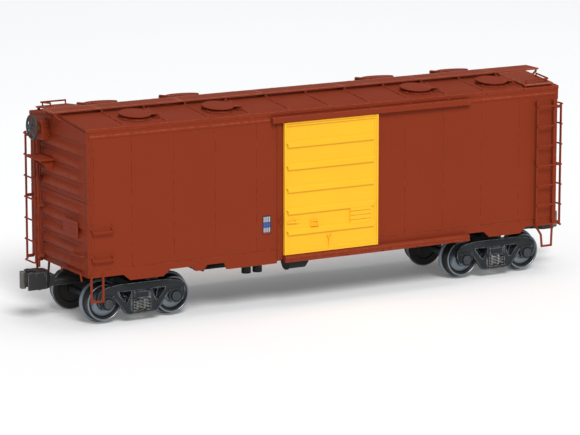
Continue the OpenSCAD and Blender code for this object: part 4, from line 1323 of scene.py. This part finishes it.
@dataclass
class HandBrake:
    """The hand brake's wheel, gear, platform and retainer line on one end."""

    rim: float = 6.0
    spokes: int = 6

    def build(self) -> None:
        """Builds the end's gear."""
        self.wheel().piece("brake_wheel_dished", FINISHES.iron, "carbody", "brake_wheel")
        self.gear().piece("brake_gear_case", FINISHES.body, "carbody", "brake_gear")
        Shape.of_node("retainer_line", 0.05).piece("retainer_pipe", FINISHES.body, "carbody", "retainer_line")
        Shape.of_node("tack_boards", 0.07).piece("tack_boards_planked", FINISHES.body, "carbody",
                                                 "tack_boards")
        self.platform().piece("brake_platform_grating", FINISHES.body, "carbody", "brake_platform")

    def wheel(self) -> Shape:
        """A dished wheel with a round rim, pressed spokes and a hub.

        Returns:
            The wheel, in its place.
        """
        box = Span.of("brake_wheel")
        shape = Shape()
        dish = Shape()
        steps = 48
        outline = [(1.0, 1.0), (2.0, 0.9), (3.4, 0.55), (4.7, 0.15), (self.rim - 0.6, 0.0)]
        verts = [dish.bm.verts.new((r, 0, z)) for r, z in outline]
        edges = [dish.bm.edges.new(pair) for pair in zip(verts, verts[1:])]
        bmesh.ops.spin(dish.bm, geom=verts + edges, cent=(0, 0, 0), axis=(0, 0, 1), dvec=(0, 0, 0),
                       angle=math.tau, steps=steps, use_merge=True)
        bmesh.ops.remove_doubles(dish.bm, verts=dish.bm.verts, dist=0.001)
        sector = math.tau / self.spokes

        def open_face(face: bmesh.types.BMFace) -> bool:
            """Finds the faces of the windows between the spokes.

            Args:
                face: A face of the dish.

            Returns:
                Whether it lies in a window.
            """
            at = face.calc_center_median()
            turn = (math.atan2(at.y, at.x) % sector) / sector
            return 2.0 < at.to_2d().length < 4.75 and 0.2 < turn < 0.8

        bmesh.ops.delete(dish.bm, geom=[f for f in dish.bm.faces if open_face(f)], context="FACES")
        bmesh.ops.recalc_face_normals(dish.bm, faces=dish.bm.faces)
        bmesh.ops.solidify(dish.bm, geom=list(dish.bm.faces), thickness=0.42)
        dish.soften(dish.bm.edges, 0.07, angle=50.0)
        ring = [(self.rim - 0.55 + 0.5 * math.cos(a), 0.5 * math.sin(a))
                for a in (math.tau * k / 10 for k in range(10))]
        shape.place(dish, Matrix()).turned(ring, steps)
        shape.rod((0, 0, -0.9), (0, 0, 1.6), 1.35, 1.1, sides=20, soft=0.12)
        shape.rod((0, 0, -1.1), (0, 0, 1.9), 0.55, sides=6, soft=0.08)
        place = Matrix.Translation((box.lo.x + 1.15, box.mid.y, box.mid.z))
        return shape.moved(place @ Matrix.Rotation(-math.pi / 2, 4, "Y")
                           @ Matrix.Rotation(math.pi / 2, 4, "Z"))

    def gear(self) -> Shape:
        """The gear case with its ratchet, bell crank and chain.

        Returns:
            The case.
        """
        shape = Shape.of_node("brake_gear", 0.15)
        wheel = Span.of("brake_wheel")
        wall = Span.of("side_near").lo.x - END_SHEET
        y, z = wheel.mid.y, wheel.mid.z
        front = wall - 4.2
        for k in range(12):
            a = math.tau * k / 12
            at = Vector((front - 0.25, y + math.cos(a) * 2.05, z - 1.2 + math.sin(a) * 2.05))
            shape.box(at - Vector((0.35, 0.25, 0.25)), at + Vector((0.35, 0.25, 0.25)), soft=0.06)
        shape.rod((front + 0.3, y, z - 1.2), (front - 0.5, y, z - 1.2), 2.0, 1.8, sides=24, soft=0.12)
        shape.rivets([(front, y + dy, z + dz) for dy, dz in ((-2.8, -5.2), (1.6, -5.2), (-3.4, -2.4),
                                                             (2.4, 2.2))],
                     (-1, 0, 0), 0.3)
        shape.tapered((wall - 3.4, y + 2.2, z - 5.4), (wall - 2.2, y + 3.9, z - 1.4), axis=2, end=1,
                      cut=(0.0, 0.5), soft=0.12)
        for k in range(5):
            shape.ball((wall - 3.3, y + 2.9, z - 6.2 - k * 0.75), 0.42, 0.8, 8, 5)
        for step in range(3):
            shape.ball((wall - 1.6, y - 4.2, z + 0.5 - step * 1.6), 0.6, 1.0, 8, 6)
        return shape

    def platform(self) -> Shape:
        """The brake step: a small grating on two brackets.

        Returns:
            The step.
        """
        shape = Shape.of_node("brake_platform", 0.06)
        box = Span.of("brake_platform")
        top = box.hi.z
        x0, x1 = box.lo.x + 0.5, -Span.of("end_plain").hi.x - 0.3
        for k in range(1, 12):
            y = box.lo.y + k * (17.0 - box.lo.y) / 11.5
            shape.box((x0, y - 0.16, top - 0.02), (x1, y + 0.16, top + 0.12), soft=0.04)
        return shape


# ---------------------------------------------------------------- underbody and trucks


@dataclass
class Underbody:
    """Centre sill, cross members and air brake gear."""

    sill_low: float = 16.6
    sill_half: float = 58.0
    web_y: float = 5.0
    stringer_y: float = 17.5

    def build(self) -> None:
        """Builds the underbody."""
        for node, soft in (("underframe", 0.15), ("brake_cylinder", 0.1), ("air_reservoir", 0.1),
                           ("control_valve", 0.15)):
            shape = Shape.of_node(node, soft)
            if node == "control_valve":
                self.valve_trim(shape)
            if node == "underframe":
                self.sill_trim(shape)
            shape.piece(node + "_dressed", FINISHES.under, "carbody", node)
        dress_node("brake_rods", FINISHES.under)

    def valve_trim(self, shape: Shape) -> None:
        """Adds bolts to the control valve.

        Args:
            shape: The valve's shape.
        """
        box = Span.of("control_valve")
        points = [(x, box.lo.y, 21.2 + dz) for x in (box.lo.x + 1, box.mid.x, box.hi.x - 1)
                  for dz in (-1.3, 1.3)]
        shape.rivets(points, (0, -1, 0), 0.35, 0.6)

    def sill_trim(self, shape: Shape) -> None:
        """Adds the sill's flanges, rivets and stringers.

        Args:
            shape: The underframe's shape.
        """
        box = Span.of("underframe")
        low, half = self.sill_low, self.sill_half
        for way in (-1, 1):
            web, beam = way * self.web_y, way * self.stringer_y
            shape.box((-half, web - 0.9, low - 0.1), (half, web + 0.9, low + 0.5), soft=0.1)
            shape.rivets(row((-half + 2, web, low + 3.2), (half - 2, web, low + 3.2), 2.6), (0, way, 0), 0.25)
            shape.box((-half, beam - 0.5, box.hi.z - 1.6), (half, beam + 0.5, box.hi.z - 0.05), soft=0.1)


@dataclass
class TruckSet:
    """One truck: sideframes, bolster, springs, brake beams and coupler."""

    truck: Truck
    spring_r: float = 1.35
    spring_wire: float = 0.33
    spring_turns: float = 3.6
    half_base: float = 17.65
    axle_up: float = 10.3
    column_out: float = 4.95

    def build(self) -> None:
        """Builds the truck."""
        key = self.truck.value
        body = f"truck_{key}"
        frames, bolster = Span.of(f"sideframes_{key}"), Span.of(f"bolster_{key}")
        cast = FINISHES.truck
        self.sideframes(frames, bolster).piece(f"sideframes_{key}_cast", cast, body, f"sideframes_{key}")
        self.bolster(bolster).piece(f"bolster_{key}_cast", cast, body, f"bolster_{key}")
        self.springs().piece(f"springs_{key}_coiled", FINISHES.spring, body, f"springs_{key}", angle=60.0)
        beams = Shape.of_node(f"brake_beams_{key}", 0.15)
        beams.piece(f"brake_beams_{key}_cast", cast, body, f"brake_beams_{key}")
        self.coupler().piece(f"coupler_{key}_head", FINISHES.coupler, body, f"coupler_{key}")
        self.knuckle().piece(f"knuckle_{key}_jaw", FINISHES.knuckle, f"knuckle_body_{key}", f"knuckle_{key}")

    def sideframes(self, box: Span, bolster: Span) -> Shape:
        """The sideframes with a raised rim round each opening, bosses and bolts.

        Args:
            box: The sideframes' box.
            bolster: The bolster's box.

        Returns:
            Both sideframes.
        """
        shape = Shape.of_node(f"sideframes_{self.truck.value}")
        for out in (-1, 1):
            outer = box.lo.y if out < 0 else box.hi.y
            faces = self._outer_faces(shape, out, outer)
            bmesh.ops.inset_region(shape.bm, faces=faces, thickness=0.3, depth=-0.35, use_even_offset=False,
                                   use_boundary=True)
        shape.soften(shape.bm.edges, 0.08, angle=38.0)
        centre = bolster.mid.x
        mid_z = box.lo.z + 6.2
        for out in (-1, 1):
            outer = box.lo.y if out < 0 else box.hi.y
            web = outer - out * 0.35
            for way in (-1, 1):
                x = centre + way * self.half_base
                saddle = Shape()
                half = [saddle.bm.verts.new(p) for p in ((2.5, 0, 0), (3.85, 0, 0), (3.85, 0, 0.55),
                                                         (3.7, 0, 0.7), (2.65, 0, 0.7), (2.5, 0, 0.55))]
                plate = saddle.bm.faces.new(half)
                bmesh.ops.spin(saddle.bm, geom=[plate, *plate.edges, *half], cent=(0, 0, 0), axis=(0, 0, 1),
                               dvec=(0, 0, 0), angle=math.radians(204), steps=24, use_merge=False)
                bmesh.ops.recalc_face_normals(saddle.bm, faces=saddle.bm.faces)
                shape.place(saddle, facing((0, out, 0), (x, web - out * 0.2, self.axle_up))
                            @ Matrix.Rotation(math.radians(-12), 4, "Z"))
                shape.rivets([(centre + way * 13.4, web, mid_z + 6.4),
                              (centre + way * 20.6, web, mid_z + 5.6),
                              (centre + way * 8.2, web, mid_z - 3.6)], (0, out, 0), 0.45, 0.7)
                for dx, dz in ((-3.7, 3.3), (3.5, 3.3)):
                    at = Vector((x + dx * 0.86, web - out * 0.1, mid_z + dz * 0.9))
                    shape.rod(at, at + Vector((0, out * 0.75, 0)), 0.6, sides=6, soft=0.08)
                shape.box((centre + way * self.column_out - 0.55, min(web, outer + out * 0.25), mid_z - 5.0),
                          (centre + way * self.column_out + 0.55, max(web, outer + out * 0.25), mid_z + 5.2),
                          soft=0.12)
        return shape

    def _outer_faces(self, shape: Shape, out: int, outer: float) -> list[bmesh.types.BMFace]:
        """Finds the faces that look outwards at a casting's outer side.

        Args:
            shape: The casting.
            out: -1 for the near side, 1 for the far side.
            outer: Y of the outer side.

        Returns:
            The faces.
        """
        return [face for face in shape.bm.faces
                if face.normal.y * out > 0.99 and abs(face.calc_center_median().y - outer) < 0.05]

    def bolster(self, box: Span) -> Shape:
        """The bolster, its ends as raised frames round a recess.

        Args:
            box: The bolster's box.

        Returns:
            The bolster.
        """
        shape = Shape.of_node(f"bolster_{self.truck.value}")
        for out in (-1, 1):
            outer = box.lo.y if out < 0 else box.hi.y
            faces = self._outer_faces(shape, out, outer)
            bmesh.ops.inset_region(shape.bm, faces=faces, thickness=0.5, depth=-0.45, use_even_offset=True,
                                   use_boundary=True)
        shape.soften(shape.bm.edges, 0.1, angle=40.0)
        centre = box.mid.x
        for out in (-1, 1):
            outer = box.lo.y if out < 0 else box.hi.y
            shape.rivets([(centre + dx, outer - out * 0.45, 12.9) for dx in (-2.2, 0, 2.2)], (0, out, 0), 0.4,
                         0.7)
        return shape

    def springs(self) -> Shape:
        """Coil springs, three in each nest.

        Returns:
            The springs of both nests.
        """
        nest = Span.of(f"springs_{self.truck.value}")
        coil = Shape()
        tall = nest.hi.z - nest.lo.z
        steps = int(self.spring_turns * 16)
        rise = (tall - 2 * self.spring_wire) / steps
        radius = self.spring_r - self.spring_wire
        ring = bmesh.ops.create_circle(coil.bm, cap_ends=False, segments=8, radius=self.spring_wire,
                                       matrix=Matrix.Translation((radius, 0, self.spring_wire))
                                       @ Matrix.Rotation(math.pi / 2, 4, "X"))
        edges = list({e for v in ring["verts"] for e in v.link_edges})
        bmesh.ops.spin(coil.bm, geom=ring["verts"] + edges, cent=(0, 0, 0), axis=(0, 0, 1), dvec=(0, 0, rise),
                       angle=math.tau * self.spring_turns, steps=steps, use_merge=False)
        bmesh.ops.holes_fill(coil.bm, edges=coil.bm.edges, sides=8)
        bmesh.ops.recalc_face_normals(coil.bm, faces=coil.bm.faces)
        for z in (0.0, tall - 0.35):
            coil.rod((0, 0, z), (0, 0, z + 0.35), self.spring_r, sides=20, soft=0.06)
        shape = Shape()
        for y in (nest.lo.y + self.spring_r, nest.hi.y - self.spring_r):
            for x in (nest.lo.x + self.spring_r, nest.mid.x, nest.hi.x - self.spring_r):
                shape.place(coil, Matrix.Translation((x, y, nest.lo.z)))
        return shape

    def coupler(self) -> Shape:
        """The coupler's head, with the raised lines of its casting.

        Returns:
            The coupler.
        """
        shape = Shape.of_node(f"coupler_{self.truck.value}", 0.22, 20.0)
        trim = Shape()
        box = Span.of("coupler_a")
        head, low, high = box.lo.x - Span.of("bolster_a").mid.x, box.lo.z, box.hi.z
        for x in (head + 4.2, head + 8.4):
            trim.box((x - 0.25, -5.75, high - 1.9), (x + 0.25, -5.45, high + 0.1), soft=0.08)
            trim.box((x - 0.25, -5.75, high - 0.1), (x + 0.25, -4.2, high + 0.12), soft=0.05)
        trim.box((head + 5.0, -5.72, low - 0.15), (head + 6.2, -4.6, low + 0.5), soft=0.1)
        trim.rod((head + 4.0, 3.9, high - 0.1), (head + 4.0, 3.9, high + 0.3), 0.9, sides=16, soft=0.1)
        return shape.place(trim, self.truck.matrix)

    def knuckle(self) -> Shape:
        """The knuckle."""
        return Shape.of_node(f"knuckle_{self.truck.value}", 0.2, 20.0)


@dataclass
class Wheelset:
    """One axle with its two wheels and its bearing caps, which turn with it."""

    name: str
    tread_r: float = 8.7
    flange: float = 1.6
    flange_w: float = 1.3
    width: float = 6.4
    hub_r: float = 1.55

    def build(self) -> None:
        """Builds the wheels and dresses the axle."""
        box = Span.of(f"wheels_{self.name}")
        body = f"wheelset_{self.name}"
        self.wheels(box, self.plate()).piece(f"wheels_{self.name}_plates", FINISHES.tread, body,
                                             f"wheels_{self.name}")
        self.wheels(box, self.face()).piece(f"wheels_{self.name}_faces", FINISHES.wheel, body)
        self.wheels(box, self.flange_ring()).piece(f"wheels_{self.name}_flanges", FINISHES.wheel, body)
        axle = Shape.of_node(f"axle_{self.name}", 0.07, 34.0)
        self._mark_radius(axle, box)
        axle.piece(f"axle_{self.name}_capped", FINISHES.cap, body, f"axle_{self.name}")

    def wheels(self, box: Span, outline: list[tuple[float, float]]) -> Shape:
        """Both wheels from one outline.

        Args:
            box: The CAD wheels' box.
            outline: Radius and distance from the wheel's back, closed.

        Returns:
            The shape.
        """
        shape = Shape()
        back = box.hi.y - self.width
        for side, angle in ((-1, math.pi / 2), (1, -math.pi / 2)):
            place = Matrix.Translation((box.mid.x, side * back, box.mid.z)) @ Matrix.Rotation(angle, 4, "X")
            shape.turned(outline, 72, place)
        self._mark_radius(shape, box)
        return shape

    def plate(self) -> list[tuple[float, float]]:
        """Outline of the dark wheel body: back, plate and tread, whose darkness is partly painted shade on
        the inward face.

        Returns:
            Radius and distance from the wheel's back.
        """
        r, f, w = self.tread_r, self.tread_r + self.flange, self.width
        return [(self.hub_r, 0.1), (2.9, 0.0), (3.2, 0.5), (6.4, 0.6), (6.8, 0.05), (f - 0.75, 0.0),
                (f - 0.3, 0.14),
                (f - 0.3, self.flange_w - 0.3), (r + 0.3, self.flange_w), (r + 0.03, self.flange_w + 0.25),
                (r, self.flange_w + 0.55), (r - 0.1, w - 0.4), (r - 0.3, w - 0.2), (r - 1.2, w - 0.4),
                (r - 2.6, w - 2.0), (r - 4.6, w - 2.0), (2.6, w - 0.5), (self.hub_r, w - 0.4)]

    def face(self) -> list[tuple[float, float]]:
        """Outline of the bright outer face: rim, dish and hub.

        Returns:
            Radius and distance from the wheel's back.
        """
        r, w = self.tread_r, self.width
        return [(r - 0.11, w - 0.42), (r - 0.02, w - 0.34), (r - 0.05, w - 0.12), (r - 0.22, w),
                (r - 0.62, w),
                (r - 0.8, w - 0.14), (r - 0.95, w - 0.6), (r - 1.4, w - 1.15), (r - 2.3, w - 1.62),
                (r - 3.6, w - 1.78),
                (r - 4.6, w - 1.55), (r - 5.2, w - 1.1), (r - 5.5, w - 0.6), (3.0, w - 0.35), (2.8, w - 0.22),
                (self.hub_r, w - 0.2), (self.hub_r, w - 0.55), (2.6, w - 0.75), (r - 4.6, w - 2.1),
                (r - 2.2, w - 2.1), (r - 0.5, w - 0.8)]

    def flange_ring(self) -> list[tuple[float, float]]:
        """Outline of the flange's polished edge.

        Returns:
            Radius and distance from the wheel's back.
        """
        f, fw = self.tread_r + self.flange, self.flange_w
        return [(f - 0.6, 0.02), (f - 0.25, 0.1), (f - 0.02, 0.4), (f, fw - 0.6), (f - 0.1, fw - 0.25),
                (f - 0.5, fw - 0.02), (f - 1.1, fw + 0.12), (f - 1.3, fw), (f - 0.6, fw - 0.3)]

    def _mark_radius(self, shape: Shape, box: Span) -> None:
        """Writes each point's distance from the axle, in millimetres.

        Args:
            shape: The shape to mark.
            box: The CAD wheels' box.
        """
        layer = shape.bm.verts.layers.float.new(RADIUS)
        for vert in shape.bm.verts:
            vert[layer] = math.hypot(vert.co.x - box.mid.x, vert.co.z - box.mid.z)


# ---------------------------------------------------------------- studio


@dataclass
class Studio:
    """Floor, light and camera."""

    target: tuple[float, float, float] = (-5.455, 0.0, 35.724)
    distance: float = 1582.0
    azimuth: float = 29.46
    elevation: float = 11.533
    lens: float = 203.7
    floor_size: float = 60.0

    def build(self) -> None:
        """Builds the stage."""
        self.floor()
        self.world()
        self.sun("key_sun", (-0.2, -0.75, 0.7), 2.3)
        self.lamp("top_light", (0.2, -0.1, 1.7), 0.9, 6.0)
        self.lamp("end_light", (-1.5, -0.5, 1.0), 0.5, 0.9)
        self.camera()

    def floor(self) -> None:
        """The plain pale floor."""
        bm = bmesh.new()
        bmesh.ops.create_grid(bm, x_segments=4, y_segments=4, size=self.floor_size / 2)
        mesh = bpy.data.meshes.new("studio_floor")
        bm.to_mesh(mesh)
        bm.free()
        graph = Graph("pale_floor")
        place = graph.add("ShaderNodeTexCoord", out="Object")
        shade = graph.blend((0.86, 0.86, 0.86, 1), (0.9, 0.9, 0.9, 1), graph.noise(place, 3.0))
        shader = graph.add("ShaderNodeBsdfPrincipled", {}, {
            "Base Color": shade, "Roughness": 0.85, "Specular IOR Level": 0.1,
            "Emission Color": (1, 1, 1, 1), "Emission Strength": 0.13})
        graph.add("ShaderNodeOutputMaterial", {}, {"Surface": shader})
        mesh.materials.append(graph.material)
        floor = bpy.data.objects.new("studio_floor", mesh)
        bpy.context.scene.collection.objects.link(floor)

    def world(self) -> None:
        """Even pale surroundings."""
        world = bpy.data.worlds.new("studio_world")
        world.use_nodes = True
        back = world.node_tree.nodes["Background"]
        back.inputs["Color"].default_value = (0.95, 0.97, 1.0, 1)
        back.inputs["Strength"].default_value = 0.34
        bpy.context.scene.world = world
        bpy.context.scene.view_settings.view_transform = "Standard"

    def sun(self, name: str, towards: Sequence[float], strength: float) -> None:
        """Adds a wide soft sun.

        Args:
            name: The lamp's name.
            towards: The direction that it stands in.
            strength: Its strength.
        """
        data = bpy.data.lights.new(name, "SUN")
        data.energy, data.angle = strength, math.radians(24)
        lamp = bpy.data.objects.new(name, data)
        bpy.context.scene.collection.objects.link(lamp)
        lamp.rotation_euler = (-Vector(towards)).to_track_quat("-Z", "Y").to_euler()

    def lamp(self, name: str, at: Sequence[float], size: float, power: float) -> None:
        """Adds a soft square lamp that looks at the car.

        Args:
            name: The lamp's name.
            at: Where it stands, in metres.
            size: Its edge, in metres.
            power: Its power, in watts.
        """
        data = bpy.data.lights.new(name, "AREA")
        data.shape, data.size, data.energy = "SQUARE", size, power
        lamp = bpy.data.objects.new(name, data)
        bpy.context.scene.collection.objects.link(lamp)
        lamp.location = at
        lamp.rotation_euler = (Vector((0, 0, 0.05)) - Vector(at)).to_track_quat("-Z", "Y").to_euler()

    def camera(self) -> None:
        """The camera, at the view that the car is known from."""
        data = bpy.data.cameras.new("camera")
        data.lens, data.sensor_width = self.lens, 36.0
        data.clip_start, data.clip_end = 0.05, 50.0
        camera = bpy.data.objects.new("camera", data)
        bpy.context.scene.collection.objects.link(camera)
        a, e = math.radians(self.azimuth), math.radians(self.elevation)
        back = Vector((-math.sin(a) * math.cos(e), -math.cos(a) * math.cos(e), math.sin(e)))
        camera.location = (Vector(self.target) + back * self.distance) * MM
        camera.rotation_euler = (-back).to_track_quat("-Z", "Y").to_euler()
        bpy.context.scene.camera = camera


def main() -> None:
    """Builds the whole scene."""
    logging.basicConfig(level=logging.INFO, format="%(message)s")
    Studio().build()
    Shell().build()
    Hatches().build()
    Boards().build()
    for turn in Turn:
        Door(turn).build()
    Tracks().build()
    Rigging().build()
    HandBrake().build()
    Underbody().build()
    for truck in Truck:
        TruckSet(truck).build()
    for name in ("a1", "a2", "b1", "b2"):
        Wheelset(name).build()


if __name__ == "__main__":
    main()
